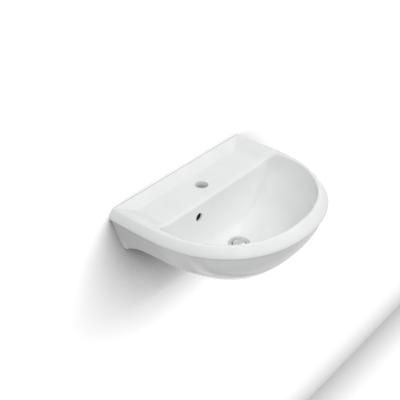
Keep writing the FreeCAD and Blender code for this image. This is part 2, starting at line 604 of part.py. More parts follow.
def index_rotor():
    """Ring that turns one step at each press, with ratchet teeth on top."""
    body_top = ROTOR_TOP_Z - ROTOR_TOOTH
    rotor = ring(HEAD_R, ROTOR_BORE_R, body_top, ROTOR_HEIGHT - ROTOR_TOOTH)
    half = ROTOR_TOOTH_WIDTH / 2
    near = ROTOR_BORE_R + ROTOR_TOOTH_INSET
    corners = [V(near, -half, body_top), V(near, half, body_top), V(near, half, ROTOR_TOP_Z)]
    tooth = Part.Face(Part.makePolygon(corners + [corners[0]]))
    tooth = tooth.extrude(V(HEAD_R - ROTOR_TOOTH_INSET - near, 0, 0))
    for i in range(ROTOR_TEETH):
        copy = tooth.copy()
        copy.rotate(V(0, 0, 0), UP, i * 360.0 / ROTOR_TEETH)
        copy.translate(OUTLET)
        rotor = rotor.fuse(copy)
    return one_solid(rotor)


def return_spring():
    """Compression coil under the rotor, at its closed length."""
    height = SPRING_CLOSED - SPRING_WIRE
    helix = Part.makeLongHelix(height / SPRING_TURNS, height, SPRING_MEAN_R)
    start = V(SPRING_MEAN_R, 0, 0)
    section = Part.Wire(Part.makeCircle(SPRING_WIRE / 2, start, V(0, 1, 0)))
    coil = Part.Wire(helix).makePipeShell([section], True, True)
    coil.translate(OUTLET + V(0, 0, SPRING_FOOT_Z + SPRING_WIRE / 2))
    return coil.Solids[0]


def cartridge_barrel():
    """Cup that guides the head and rotor, with a threaded neck through the bridge."""
    neck_foot = BRIDGE_FOOT_Z - NECK_NUT_THICKNESS - 1
    rim = CHAMBER_TOP_Z
    return turned([(CHAMBER_R, rim), (BARREL_R, rim), (BARREL_R, BARREL_FOOT_Z), (BARREL_NECK_R, BARREL_FOOT_Z),
                   (BARREL_NECK_R, neck_foot), (0, neck_foot), (0, CHAMBER_FLOOR_Z), (CHAMBER_R, CHAMBER_FLOOR_Z)])


def cartridge_collar():
    """Cap over the barrel that guides the shaft and stops the head."""
    inner = BARREL_R + THREAD_CLEARANCE
    outer = inner + COLLAR_WALL
    shaft = STEM_R + SHAFT_CLEARANCE
    foot = CHAMBER_TOP_Z - COLLAR_OVER_BARREL
    return turned([(shaft, COLLAR_TOP_Z), (outer, COLLAR_TOP_Z), (outer, foot), (inner, foot),
                   (inner, CHAMBER_TOP_Z), (shaft, CHAMBER_TOP_Z)])


def cartridge_nut():
    nut = hexagon(NECK_NUT_FLATS, BRIDGE_FOOT_Z, NECK_NUT_THICKNESS)
    return nut.cut(disc(BARREL_NECK_R + THREAD_CLEARANCE, BRIDGE_FOOT_Z, NECK_NUT_THICKNESS))


# ---------------------------------------------------------------- wall fixings, one of each per side

def lathed(profile):
    """Solid of revolution about a fixing's axis, from (radius, y) points; built at the origin."""
    points = [V(r, y, 0) for r, y in profile]
    return Part.Face(Part.makePolygon(points + [points[0]])).revolve(V(0, 0, 0), V(0, 1, 0), 360)


def at_fixings(solid):
    copies = []
    for place in fixing_places():
        copy = solid.copy()
        copy.translate(place)
        copies.append(copy)
    return Part.makeCompound(copies)


def wall_stud():
    """Metric thread in the room and a screw end for a plug in the wall."""
    return lathed([(0, -STUD_INTO_ROOM), (STUD_R - 1, -STUD_INTO_ROOM), (STUD_R, -STUD_INTO_ROOM + 1), (STUD_R, 0),
                   (SCREW_R, 0), (SCREW_R, SCREW_LENGTH - SCREW_POINT), (0, SCREW_LENGTH)])


def fixing_bush():
    inner = STUD_R + FIT_GAP
    return lathed([(inner, PANEL_FACE_Y + BUSH_REACH), (BUSH_R, PANEL_FACE_Y + BUSH_REACH),
                   (BUSH_R, PANEL_FACE_Y), (BUSH_COLLAR_R, PANEL_FACE_Y), (BUSH_COLLAR_R, BUSH_FACE_Y),
                   (inner, BUSH_FACE_Y)])


def fixing_washer():
    inner = STUD_R + FIT_GAP
    return lathed([(inner, BUSH_FACE_Y), (WASHER_R, BUSH_FACE_Y), (WASHER_R, WASHER_FACE_Y), (inner, WASHER_FACE_Y)])


def fixing_nut():
    nut = hexagon(NUT_FLATS, 0, NUT_THICKNESS, V(0, 0, 0))
    nut = nut.cut(disc(STUD_R + THREAD_CLEARANCE, 0, NUT_THICKNESS, V(0, 0, 0)))
    nut.rotate(V(0, 0, 0), V(1, 0, 0), -90)
    nut.translate(V(0, NUT_FACE_Y, 0))
    return nut


def fixing_cap():
    """Hollow cover pushed over washer and nut."""
    inner = WASHER_R + FIT_GAP
    outer = inner + CAP_WALL
    end = -STUD_INTO_ROOM - 2
    return lathed([(outer, BUSH_FACE_Y), (outer, end + 4), (outer - 4, end - CAP_WALL), (0, end - CAP_WALL),
                   (0, end), (inner - 4, end), (inner, end + 4), (inner, BUSH_FACE_Y)])


PIECES = {
    "basin_body": basin_body,
    "waste_body": waste_body,
    "waste_top_seal": waste_top_seal,
    "waste_cone_washer": waste_cone_washer,
    "waste_slip_washer": waste_slip_washer,
    "waste_back_nut": waste_back_nut,
    "plug_cap": plug_cap,
    "plug_seal": plug_seal,
    "plug_stem": plug_stem,
    "index_rotor": index_rotor,
    "return_spring": return_spring,
    "cartridge_barrel": cartridge_barrel,
    "cartridge_collar": cartridge_collar,
    "cartridge_nut": cartridge_nut,
    "wall_studs": lambda: at_fixings(wall_stud()),
    "fixing_bushes": lambda: at_fixings(fixing_bush()),
    "fixing_washers": lambda: at_fixings(fixing_washer()),
    "fixing_nuts": lambda: at_fixings(fixing_nut()),
    "fixing_caps": lambda: at_fixings(fixing_cap()),
}


def main():
    os.makedirs("parts", exist_ok=True)
    for name, build in PIECES.items():
        shape = build()
        shape.exportStep("parts/" + name + ".step")
        print(name, len(shape.Solids), "valid" if shape.isValid() else "INVALID", round(shape.Volume / 1000, 2), "cm3")


if __name__ == "__main__":
    main()
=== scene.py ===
"""Visual model of a wall hung wash basin in glazed china, with its sprung plug waste and wall fixings.

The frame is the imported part's: metres, Z up, the wall plane at Y = 0, the room on the -Y side and the
origin at the middle of the rim's straight rear edge. Sizes below are in millimetres, unless they say
otherwise, and become metres when a mesh is made.
"""
import logging
import math
from dataclasses import dataclass
from enum import Enum
from typing import Callable, Dict, List, Sequence, Tuple

import bpy
import numpy as np
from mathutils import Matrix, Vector


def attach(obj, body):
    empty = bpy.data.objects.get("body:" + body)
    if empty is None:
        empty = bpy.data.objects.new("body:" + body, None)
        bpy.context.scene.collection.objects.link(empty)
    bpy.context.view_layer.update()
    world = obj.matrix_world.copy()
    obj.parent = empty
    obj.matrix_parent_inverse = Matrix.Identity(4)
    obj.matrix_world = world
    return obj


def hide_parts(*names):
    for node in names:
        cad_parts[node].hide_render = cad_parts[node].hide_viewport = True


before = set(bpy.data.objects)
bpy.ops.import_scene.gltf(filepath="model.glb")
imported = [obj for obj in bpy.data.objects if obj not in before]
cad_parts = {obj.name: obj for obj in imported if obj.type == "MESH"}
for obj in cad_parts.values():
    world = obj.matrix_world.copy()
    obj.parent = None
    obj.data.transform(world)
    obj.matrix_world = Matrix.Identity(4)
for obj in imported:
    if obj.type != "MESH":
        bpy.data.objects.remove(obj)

logging.basicConfig(level=logging.INFO, format="%(message)s")
LOG = logging.getLogger("basin")

MM = 0.001
Pair = Tuple[float, float]
Point = Tuple[float, float, float]
Profile = Sequence[Pair]
Loop = np.ndarray
Shape = Callable[[np.ndarray], np.ndarray]


class Body(Enum):
    """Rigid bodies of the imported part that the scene's own pieces ride on."""

    BASIN = "basin"
    PLUG = "plug"


class Way(Enum):
    """Axis that a turned piece is built round."""

    UP = "z"
    OUT_OF_WALL = "y"


# ---------------------------------------------------------------- materials

def linear(hex_colour: str) -> Tuple[float, float, float, float]:
    """Converts an sRGB hex colour to linear RGBA.

    Args:
        hex_colour: six hex digits, such as "F2F1EE".

    Returns:
        Red, green, blue and alpha in linear light.
    """
    parts = [int(hex_colour[i:i + 2], 16) / 255 for i in (0, 2, 4)]
    light = [c / 12.92 if c <= 0.04045 else ((c + 0.055) / 1.055) ** 2.4 for c in parts]
    return (light[0], light[1], light[2], 1.0)


def add_node(tree: bpy.types.NodeTree, kind: str, *inputs: object, **values: object) -> bpy.types.Node:
    """Adds a node with its settings and links.

    Args:
        tree: node tree to add to.
        kind: node type, such as "ShaderNodeTexNoise".
        inputs: what goes into its first inputs, in their order.
        values: its properties, and what goes into inputs by name, where underscores stand for spaces.
            An output socket is linked to the input; anything else becomes the input's value.

    Returns:
        The new node.
    """
    node = tree.nodes.new(kind)
    sources = dict(enumerate(inputs))
    for key, value in values.items():
        if hasattr(node, key):
            setattr(node, key, value)
        else:
            sources[key.replace("_", " ")] = value
    for key, value in sources.items():
        if isinstance(value, bpy.types.NodeSocket):
            tree.links.new(value, node.inputs[key])
        else:
            node.inputs[key].default_value = value
    return node


def seen_directly(tree: bpy.types.NodeTree) -> bpy.types.NodeSocket:
    """Tells camera, glossy and transmission rays from the rest.

    Args:
        tree: node tree to add the test to.

    Returns:
        A socket that is 1 for those rays and 0 for the others.
    """
    ray = add_node(tree, "ShaderNodeLightPath").outputs
    total = ray["Is Camera Ray"]
    for kind in ("Is Glossy Ray", "Is Transmission Ray"):
        total = add_node(tree, "ShaderNodeMath", total, ray[kind], operation="MAXIMUM").outputs["Value"]
    return total


@dataclass(frozen=True)
class Finish:
    """Surface of one real material, as a procedural shader.

    Attributes:
        name: what the material is and how its surface was made.
        light: hex colour of its lighter parts.
        dark: hex colour of its darker parts.
        metallic: 0 or 1.
        roughness: middle of the roughness range.
        spread: how far roughness varies either way.
        grain: noise scale of the colour variation, per metre.
        bump: height of the fine relief, in metres.
        bump_grain: noise scale of the relief, per metre.
        coat: weight of a clear coat.
        stretch: length of the grain along Z against its width; under 1 it lies in rings, as turning
            leaves it.
    """

    name: str
    light: str
    dark: str
    metallic: float
    roughness: float
    spread: float
    grain: float
    bump: float
    bump_grain: float
    coat: float = 0.0
    stretch: float = 1.0

    def build(self) -> bpy.types.Material:
        """Makes the material.

        Returns:
            A material whose colour, roughness and relief vary with the object's coordinates.
        """
        material = bpy.data.materials.new(self.name)
        material.use_nodes = True
        tree = material.node_tree
        tree.nodes.clear()
        where = add_node(tree, "ShaderNodeTexCoord").outputs["Object"]
        place = add_node(tree, "ShaderNodeMapping", Vector=where, Scale=(1.0, 1.0, 1.0 / self.stretch))
        place = place.outputs["Vector"]
        tone = add_node(tree, "ShaderNodeTexNoise", Vector=place, Scale=self.grain, Detail=4.0)
        fine = add_node(tree, "ShaderNodeTexNoise", Vector=place, Scale=self.bump_grain, Detail=3.0)
        fine = fine.outputs["Fac"]
        ramp = add_node(tree, "ShaderNodeValToRGB", Fac=tone.outputs["Fac"])
        for element, position, colour in zip(ramp.color_ramp.elements, (0.3, 0.7), (self.dark, self.light)):
            element.position = position
            element.color = linear(colour)
        rough = add_node(tree, "ShaderNodeMapRange", Value=fine, To_Min=self.roughness - self.spread,
                         To_Max=self.roughness + self.spread)
        relief = add_node(tree, "ShaderNodeBump", Height=fine, Strength=1.0, Distance=self.bump)
        shader = add_node(tree, "ShaderNodeBsdfPrincipled", Base_Color=ramp.outputs["Color"],
                          Roughness=rough.outputs["Result"], Normal=relief.outputs["Normal"],
                          Metallic=self.metallic, Coat_Weight=self.coat, Coat_Roughness=0.03)
        add_node(tree, "ShaderNodeOutputMaterial", Surface=shader.outputs["BSDF"])
        return material


# Fired glaze: clean white with soft, wide highlights and a faint long wave.
CHINA = Finish("glazed vitreous china", "F5F6F6", "F1F2F2", 0.0, 0.13, 0.02, 14.0, 0.00001, 60.0, coat=0.25)
# Where the glaze doesn't reach, the duct is matt; its near black colour is painted shade for the dark inside
# of the overflow.
RAW_CHINA_IN_PAINTED_SHADE = Finish("unglazed duct china, darkened as painted shade", "35322E", "24211E", 0.0, 0.9, 0.05, 40.0, 0.00003, 400.0)
# Plated over polished brass: a near mirror that takes the white of the bowl.
CHROME = Finish("chromed brass", "E2E3E2", "D0D2D0", 1.0, 0.08, 0.03, 60.0, 0.000004, 900.0)
# Turned on a lathe: yellow, with fine rings that spread the highlight.
BRASS = Finish("turned brass", "C9A45C", "A98544", 1.0, 0.28, 0.06, 90.0, 0.00001, 1400.0, stretch=0.1)
# Moulded: black, dull and a little uneven.
RUBBER = Finish("moulded black rubber", "2A2A2A", "1B1B1B", 0.0, 0.7, 0.1, 120.0, 0.00003, 1800.0)
# Moulded: off white with a satin sheen.
NYLON = Finish("moulded white nylon", "E6E5DF", "D8D7D0", 0.0, 0.42, 0.06, 80.0, 0.00002, 1200.0)
# Electroplated: blue grey metal with a soft, cloudy shine.
ZINC = Finish("zinc plated steel", "BFC2C4", "A3A7AA", 1.0, 0.32, 0.08, 140.0, 0.00001, 900.0)
# Drawn wire: darker grey metal with fine scratches.
SPRING = Finish("drawn spring steel", "8E9094", "74767A", 1.0, 0.3, 0.06, 200.0, 0.000006, 2500.0)

NODE_FINISHES: Dict[str, Finish] = {
    "basin_body": CHINA,
    "waste_body": CHROME,
    "waste_top_seal": RUBBER,
    "waste_cone_washer": RUBBER,
    "waste_slip_washer": NYLON,
    "waste_back_nut": BRASS,
    "plug_cap": CHROME,
    "plug_seal": RUBBER,
    "plug_stem": BRASS,
    "index_rotor": NYLON,
    "return_spring": SPRING,
    "cartridge_barrel": NYLON,
    "cartridge_collar": NYLON,
    "cartridge_nut": BRASS,
    "wall_studs": ZINC,
    "fixing_bushes": NYLON,
    "fixing_washers": ZINC,
    "fixing_nuts": ZINC,
    "fixing_caps": NYLON,
}


# ---------------------------------------------------------------- mesh helpers

TINY = 0.001        # radius that stands for 0 where a ring shrinks to a point


def select_only(obj: bpy.types.Object) -> None:
    """Deselects all objects, then selects one and makes it active.

    Args:
        obj: object to select.
    """
    bpy.ops.object.select_all(action="DESELECT")
    obj.select_set(True)
    bpy.context.view_layer.objects.active = obj


def apply_boolean(obj: bpy.types.Object, other: bpy.types.Object, operation: str) -> None:
    """Applies one boolean and removes the other object.

    Args:
        obj: object that is changed.
        other: object that is added or cut away.
        operation: "UNION" or "DIFFERENCE".
    """
    select_only(obj)
    modifier = obj.modifiers.new("boolean", "BOOLEAN")
    modifier.operation = operation
    modifier.solver = "EXACT"
    modifier.object = other
    bpy.ops.object.modifier_apply(modifier=modifier.name)
    bpy.data.objects.remove(other, do_unlink=True)


def smooth(obj: bpy.types.Object, angle: float = 32.0) -> None:
    """Turns normals outward and shades an object smooth except across sharp edges.

    Args:
        obj: object to shade.
        angle: largest angle, in degrees, that still shades smooth.
    """
    select_only(obj)
    bpy.ops.object.mode_set(mode="EDIT")
    bpy.ops.mesh.select_all(action="SELECT")
    bpy.ops.mesh.normals_make_consistent(inside=False)
    bpy.ops.object.mode_set(mode="OBJECT")
    bpy.ops.object.shade_smooth_by_angle(angle=math.radians(angle))


def turned(name: str, profile: Profile, centre: Point, way: Way = Way.UP,
           steps: int = 96) -> bpy.types.Object:
    """Makes a turned piece by extruding a circle along a closed profile.

    Args:
        name: object name.
        profile: (radius, height) points; a repeated first point closes a ring, a radius of 0 a cap.
        centre: point of the axis that heights count from.
        way: the axis it is turned round. Height counts along +Z, or along +Y.
        steps: points round the circle.

    Returns:
        The object, with its place in its mesh.
    """
    radius, height = max(profile[0][0], TINY), profile[0][1]
    bpy.ops.mesh.primitive_circle_add(vertices=steps, radius=radius * MM, location=(0, 0, 0))
    obj = bpy.context.object
    obj.name = name
    bpy.ops.object.mode_set(mode="EDIT")
    bpy.ops.mesh.select_all(action="SELECT")
    bpy.ops.transform.translate(value=(0, 0, height * MM))
    for r, z in profile[1:]:
        r = max(r, TINY)
        bpy.ops.mesh.extrude_region_move(TRANSFORM_OT_translate={"value": (0, 0, (z - height) * MM)})
        bpy.ops.transform.resize(value=(r / radius, r / radius, 1), center_override=(0, 0, z * MM))
        radius, height = r, z
    bpy.ops.mesh.select_all(action="SELECT")
    bpy.ops.mesh.remove_doubles(threshold=2.5 * TINY * MM)
    bpy.ops.object.mode_set(mode="OBJECT")
    if way is Way.OUT_OF_WALL:
        obj.rotation_euler = (math.radians(-90), 0, 0)
    obj.location = Vector(centre) * MM
    bpy.ops.object.transform_apply(location=True, rotation=True, scale=True)
    return obj


def block(name: str, low: Sequence[float], high: Sequence[float], rounding: float) -> bpy.types.Object:
    """Makes a box with rounded edges.

    Args:
        name: object name.
        low: corner with the smallest coordinates.
        high: corner with the largest ones.
        rounding: radius of the edges.

    Returns:
        The object, with its place in its mesh.
    """
    centre = [(a + b) / 2 * MM for a, b in zip(low, high)]
    bpy.ops.mesh.primitive_cube_add(size=1, location=centre)
    obj = bpy.context.object
    obj.name = name
    obj.scale = [(b - a) * MM for a, b in zip(low, high)]
    bpy.ops.object.transform_apply(location=True, rotation=True, scale=True)
    select_only(obj)
    modifier = obj.modifiers.new("bevel", "BEVEL")
    modifier.width = rounding * MM
    modifier.segments = 4
    modifier.limit_method = "ANGLE"
    modifier.angle_limit = math.radians(40)
    bpy.ops.object.modifier_apply(modifier=modifier.name)
    return obj


def ring_mesh(name: str, loops: Sequence[Loop], close: bool) -> bpy.types.Object:
    """Joins closed loops of equal length into a skin of quads.

    Args:
        name: object name.
        loops: arrays of (x, distance from the wall, z).
        close: whether the last loop joins the first; otherwise both ends are capped.

    Returns:
        The object, with doubled points merged.
    """
    count = len(loops[0])
    points = np.concatenate(loops) * MM
    points[:, 1] *= -1
    faces: List[Tuple[int, ...]] = []
    last = len(loops) if close else len(loops) - 1
    for k in range(last):
        a, b = k * count, ((k + 1) % len(loops)) * count
        faces += [(a + i, a + (i + 1) % count, b + (i + 1) % count, b + i) for i in range(count)]
    if not close:
        faces.append(tuple(range(count)))
        faces.append(tuple((len(loops) - 1) * count + i for i in reversed(range(count))))
    mesh = bpy.data.meshes.new(name)
    mesh.from_pydata(points.tolist(), [], faces)
    obj = bpy.data.objects.new(name, mesh)
    bpy.context.scene.collection.objects.link(obj)
    select_only(obj)
    bpy.ops.object.mode_set(mode="EDIT")
    bpy.ops.mesh.select_all(action="SELECT")
    bpy.ops.mesh.remove_doubles(threshold=0.00002)
    bpy.ops.mesh.dissolve_degenerate(threshold=0.000005)
    bpy.ops.mesh.normals_make_consistent(inside=False)
    bpy.ops.object.mode_set(mode="OBJECT")
    return obj


def arc(centre: Pair, radius: float, start: float, end: float, steps: int) -> List[Pair]:
    """Walks along a circular arc.

    Args:
        centre: its middle.
        radius: its radius.
        start: first angle in degrees, where 0 points along the first axis and 90 along the second.
        end: last angle.
        steps: how many chords it has.

    Returns:
        Its points, both ends included.
    """
    angles = [math.radians(start + (end - start) * i / steps) for i in range(steps + 1)]
    return [(centre[0] + radius * math.cos(a), centre[1] + radius * math.sin(a)) for a in angles]


def bezier(*controls: Loop, steps: int) -> List[Loop]:
    """Walks along a Bezier curve whose control points are loops.

    Args:
        controls: the loops.
        steps: how many loops to make.

    Returns:
        Loops along the curve, without the first control.
    """
    found = []
    for i in range(1, steps + 1):
        t = i / steps
        row = list(controls)
        while len(row) > 1:
            row = [(1 - t) * p + t * q for p, q in zip(row, row[1:])]
        found.append(row[0])
    return found


def smoothstep(a: float, b: float, x: np.ndarray) -> np.ndarray:
    """Returns 0 where x is below a, 1 where it is above b, and an S curve between."""
    t = np.clip((x - a) / (b - a), 0, 1)
    return t * t * (3 - 2 * t)


def soft_max(a: np.ndarray, b: np.ndarray, k: float) -> np.ndarray:
    """Returns the larger of a and b, rounded over about k where they meet."""
    return 0.5 * (a + b + np.sqrt((a - b) ** 2 + k * k) - k)


# ---------------------------------------------------------------- the china body

@dataclass
class ChinaBody:
    """The basin's one casting: rim, deck, bowl, flanks, wall panel, overflow duct and outlet boss.

    Each loop of the skin starts at the left rear corner, runs along the rear to the right rear corner, and
    then round the right side, the front and the left side. All loops have the same number of points.
    A name with _z is a height, one with _out a distance from the wall, and a draw is how far a wall comes
    in on its way down.
    """

    # Rim, whose band runs from the land round its top to its widest line.
    half_width: float = 275.0
    depth: float = 430.0
    wall_taper: float = 2.5
    straight: float = 138.0
    fullness: float = 2.2
    band_drop: float = 26.0
    band_side_lean: float = 16.0
    band_front_lean: float = 24.0
    widest_z: float = -28.0
    under_band_z: float = -31.0
    under_band_inset: float = 4.5
    land_half: float = 255.0
    land_rear: float = 4.0
    land_front: float = 402.0
    crest_inset: float = 2.5
    # Deck and the dished slopes round it.
    deck_z: float = -18.0
    deck_half: float = 203.0
    deck_rear: float = 36.0
    dish_front: float = 345.0
    # Bowl.
    bowl_half: float = 245.0
    bowl_front: float = 396.0
    bowl_rear: float = 137.0
    bowl_side_draw: float = 147.0
    bowl_front_draw: float = 105.0
    bowl_rear_draw: float = 32.0
    bowl_corner: float = 33.0
    bowl_roundness: float = 2.2
    bowl_corner_share: float = 13.0
    lip_reach: float = 9.0
    floor_z: float = -147.0
    # Outlet and its boss.
    outlet_z: float = -153.0
    outlet_out: float = 214.0
    outlet_radius: float = 23.0
    seat_radius: float = 31.0
    seat_depth: float = 4.5
    boss_radius: float = 46.0
    boss_z: float = -184.0
    # Outside of the bowl, below the band.
    shell_inset: float = 6.0
    shell_side_draw: float = 100.0
    shell_side_curve: float = 1.9
    shell_front_draw: float = 90.5
    shell_front_curve: float = 1.72
    shell_rear_draw: float = 45.0
    shell_corner: float = 45.0
    rear_wall: float = 14.0
    bulge_start: float = 210.0
    bulge_end: float = 290.0
    underside_z: float = -172.0
    # Flanks, whose lower edge is level and then sweeps down to the wall panel.
    flank_inset: float = 7.0
    flank_front_inset: float = 30.0
    flank_side_draw: float = 43.0
    flank_front_draw: float = 40.0
    flank_flare: float = 12.0
    flank_step: float = 3.0
    flank_thickness: float = 12.0
    flank_top_z: float = -34.0
    flank_foot_z: float = -120.0
    foot_radius: float = 3.5
    sweep_out: float = 80.0
    sweep_radius: float = 120.0
    # Wall panel; it and the swept edges start inside the china, at the seam.
    seam_z: float = -112.0
    panel_out: float = 14.0
    panel_foot_z: float = -142.0
    panel_corner: float = 8.0
    panel_edge: float = 3.0
    pocket_corner: float = 16.0
    # Holes.
    tap_radius: float = 17.5
    tap_lip: float = 4.0
    tap_out: float = 81.0
    overflow_radius: float = 12.0
    overflow_lip: float = 2.0
    overflow_x: float = -78.0
    overflow_z: float = -61.0
    overflow_out: float = 139.2
    # Depth down the overflow where the glaze ends and the duct's painted shade begins.
    glaze_and_shade_reach: float = 6.5
    fixing_x: float = 140.0
    fixing_z: float = -76.0
    fixing_radius: float = 8.0
    # Overflow duct and the casing round it.
    duct_out: float = 114.0
    duct_half: float = 14.0
    duct_depth: float = 5.5
    duct_top_z: float = -52.0
    duct_foot_z: float = -174.0
    casing_half: float = 21.0
    casing_depth: float = 12.5
    casing_top_z: float = -42.0
    casing_foot_z: float = -182.2
    casing_rounding: float = 5.0
    level_run: float = 120.0
    level_height: float = 23.0
    # Points of a loop.
    rear_points: int = 96
    side_points: int = 36
    front_points: int = 168

    def __post_init__(self) -> None:
        """Spaces the loop parameters."""
        self.rear = np.arange(self.rear_points) / self.rear_points
        self.side = np.arange(self.side_points) / self.side_points
        self.turn = np.arange(self.front_points) / self.front_points * math.pi

    # ---- plan curves

    def _gather(self, rear: Loop, right: Loop, front: Loop, left: Loop, z: object) -> Loop:
        """Joins the four stretches of a loop and adds its heights.

        Args:
            rear: plan points along the rear.
            right: those along the right side.
            front: those of the front.
            left: those along the left side.
            z: height, one or one per point.

        Returns:
            The loop.
        """
        plan = np.concatenate([rear, right, front, left])
        heights = np.broadcast_to(np.asarray(z, float), (len(plan),))
        return np.column_stack([plan, heights])

    def side_x(self, half: float, front: float, out: np.ndarray) -> np.ndarray:
        """Finds the half width of a rim-like curve.

        Args:
            half: its half width along the straight sides.
            front: distance of its foremost point.
            out: distances from the wall.

        Returns:
            One half width per distance.
        """
        span = np.clip((out - self.straight) / (front - self.straight), 0, 1)
        return half * (1 - span ** self.fullness) ** (1 / self.fullness)

    def rim_loop(self, half: float, wall_half: float, rear: float, front: float, z: object) -> Loop:
        """Makes a loop of the rim's plan family.

        Args:
            half: half width along the straight sides.
            wall_half: half width at the rear.
            rear: distance of the flat rear from the wall.
            front: distance of the foremost point.
            z: height.

        Returns:
            The loop.
        """
        power = 2 / self.fullness
        back = np.column_stack([-wall_half + 2 * wall_half * self.rear, np.full(self.rear_points, rear)])

        def flank(along: np.ndarray) -> np.ndarray:
            x = half - (half - wall_half) * (1 - along) ** 2
            return np.column_stack([x, rear + (self.straight - rear) * along])

        c, s = np.cos(self.turn), np.sin(self.turn)
        front_x = half * np.sign(c) * np.abs(c) ** power
        front_out = self.straight + (front - self.straight) * np.abs(s) ** power
        arch = np.column_stack([front_x, front_out])
        left = flank(1 - self.side) * (-1, 1)
        return self._gather(back, flank(self.side), arch, left, z)

    def closed_loop(self, half: float, rear: float, front_curve: Shape, corner: float, share: float,
                    z: object) -> Loop:
        """Makes a loop with a flat rear, two upright corners and a given front.

        Args:
            half: half width where the corners end.
            rear: distance of the flat rear from the wall.
            front_curve: turns angles of the front, 0 to 180 degrees, into plan points.
            corner: corner radius.
            share: angle of the front curve, in radians, that belongs to each side stretch.
            z: height, one or one per point.

        Returns:
            The loop.
        """
        quarter = corner * math.pi / 4
        flat = 2 * (half - corner)
        run = self.rear * (flat + 2 * quarter)
        first = run < quarter
        last = run > quarter + flat
        a = np.where(first, (quarter - run) / corner, np.where(last, (run - quarter - flat) / corner, 0.0))
        x = np.where(first, -(half - corner) - corner * np.sin(a),
                     np.where(last, half - corner + corner * np.sin(a), run - quarter - flat / 2))
        back = np.column_stack([x, rear + corner * (1 - np.cos(a))])
        bend = 0.45

        def side(along: np.ndarray) -> np.ndarray:
            turn = math.pi / 4 * (1 + np.clip(along / bend, 0, 1))
            on_corner = np.column_stack([half - corner + corner * np.sin(turn),
                                         rear + corner * (1 - np.cos(turn))])
            on_front = front_curve(share * np.clip((along - bend) / (1 - bend), 0, 1))
            return np.where((along < bend)[:, None], on_corner, on_front)

        left = side(1 - self.side) * (-1, 1)
        arch = front_curve(share + (math.pi - 2 * share) * self.turn / math.pi)
        return self._gather(back, side(self.side), arch, left, z)

    def circle(self, radius: float, z: float, like: Loop) -> Loop:
        """Makes a circle round the outlet.

        Args:
            radius: its radius.
            z: its height.
            like: loop whose points its own points face.

        Returns:
            The loop.
        """
        angle = np.arctan2(like[:, 1] - self.outlet_out, like[:, 0])
        return np.column_stack([radius * np.cos(angle), self.outlet_out + radius * np.sin(angle),
                                np.full(len(like), z)])

    # ---- bowl, deck and rim

    def _bowl_at(self, psi: float) -> Loop:
        """Makes a level loop of the bowl's wall.

        Args:
            psi: profile angle in radians, from 0 at the mouth to a right angle at the floor.

        Returns:
            The loop.
        """
        power = 2 / self.bowl_roundness
        draw = 1 - math.cos(psi) ** power
        half = self.bowl_half - self.bowl_side_draw * draw
        rear = self.bowl_rear + self.bowl_rear_draw * draw
        front = self.bowl_front - self.bowl_front_draw * draw
        start = rear + self.bowl_corner

        def front_curve(angle: np.ndarray) -> np.ndarray:
            c, s = np.cos(angle), np.sin(angle)
            x = half * np.sign(c) * np.abs(c) ** (2 / self.fullness)
            return np.column_stack([x, start + (front - start) * np.abs(s) ** (2 / self.fullness)])

        z = self.floor_z * math.sin(psi) ** power
        share = math.radians(self.bowl_corner_share)
        return self.closed_loop(half, rear, front_curve, self.bowl_corner, share, z)

    def _sample(self, table: np.ndarray, grid: np.ndarray, psi: np.ndarray) -> Loop:
        """Interpolates the bowl's level loops at one profile angle per point.

        Args:
            table: the level loops.
            grid: their profile angles.
            psi: the angles wanted.

        Returns:
            A loop that needs not be level.
        """
        place = np.clip(psi / grid[-1] * (len(grid) - 1), 0, len(grid) - 1.000001)
        low = place.astype(int)
        part = (place - low)[:, None]
        column = np.arange(table.shape[1])
        return table[low, column] * (1 - part) + table[low + 1, column] * part

    def dish(self, plan: np.ndarray) -> np.ndarray:
        """Finds the height of the deck and of the slopes between it and the rim.

        Args:
            plan: (x, distance from the wall) points.

        Returns:
            One height per point.
        """
        x, out = np.abs(plan[:, 0]), plan[:, 1]
        power = self.fullness

        def ratio(half: float, front: float) -> np.ndarray:
            span = np.clip(out - self.straight, 0, None) / (front - self.straight)
            return ((x / half) ** power + span ** power) ** (1 / power)

        outer, inner = ratio(self.land_half, self.land_front), ratio(self.deck_half, self.dish_front)
        side = np.clip((1 - outer) / np.maximum(inner - outer, 1e-4), -1, 4)
        rear = (out - self.land_rear) / (self.deck_rear - self.land_rear)
        nearest = -soft_max(-side, -rear, 0.05)
        level = -soft_max(-nearest, np.full_like(nearest, -1.0), 0.12)
        return self.deck_z * level

    def _seat(self, floor: Loop) -> List[Loop]:
        """Makes the loops of the waste's seat and of the bowl's floor.

        Args:
            floor: loop at the edge of the floor.

        Returns:
            The loops, from the seat out to the last before that edge.
        """
        seat = self.seat_radius
        recess = self.circle(seat, self.outlet_z, floor)
        loops = bezier(self.circle(seat, self.outlet_z - self.seat_depth, floor),
                       self.circle(seat, self.outlet_z - 0.6, floor), steps=2)
        loops += bezier(loops[-1], recess, self.circle(seat + 1.2, self.outlet_z + 0.2, floor), steps=3)
        edge = loops[-1]
        steps = 14
        for i in range(1, steps):
            w = i / steps
            loop = edge + (floor - edge) * w
            loop[:, 2] = edge[:, 2] + (floor[:, 2] - edge[:, 2]) * (0.5 * w + 0.5 * w * w * (3 - 2 * w))
            loops.append(loop)
        return loops

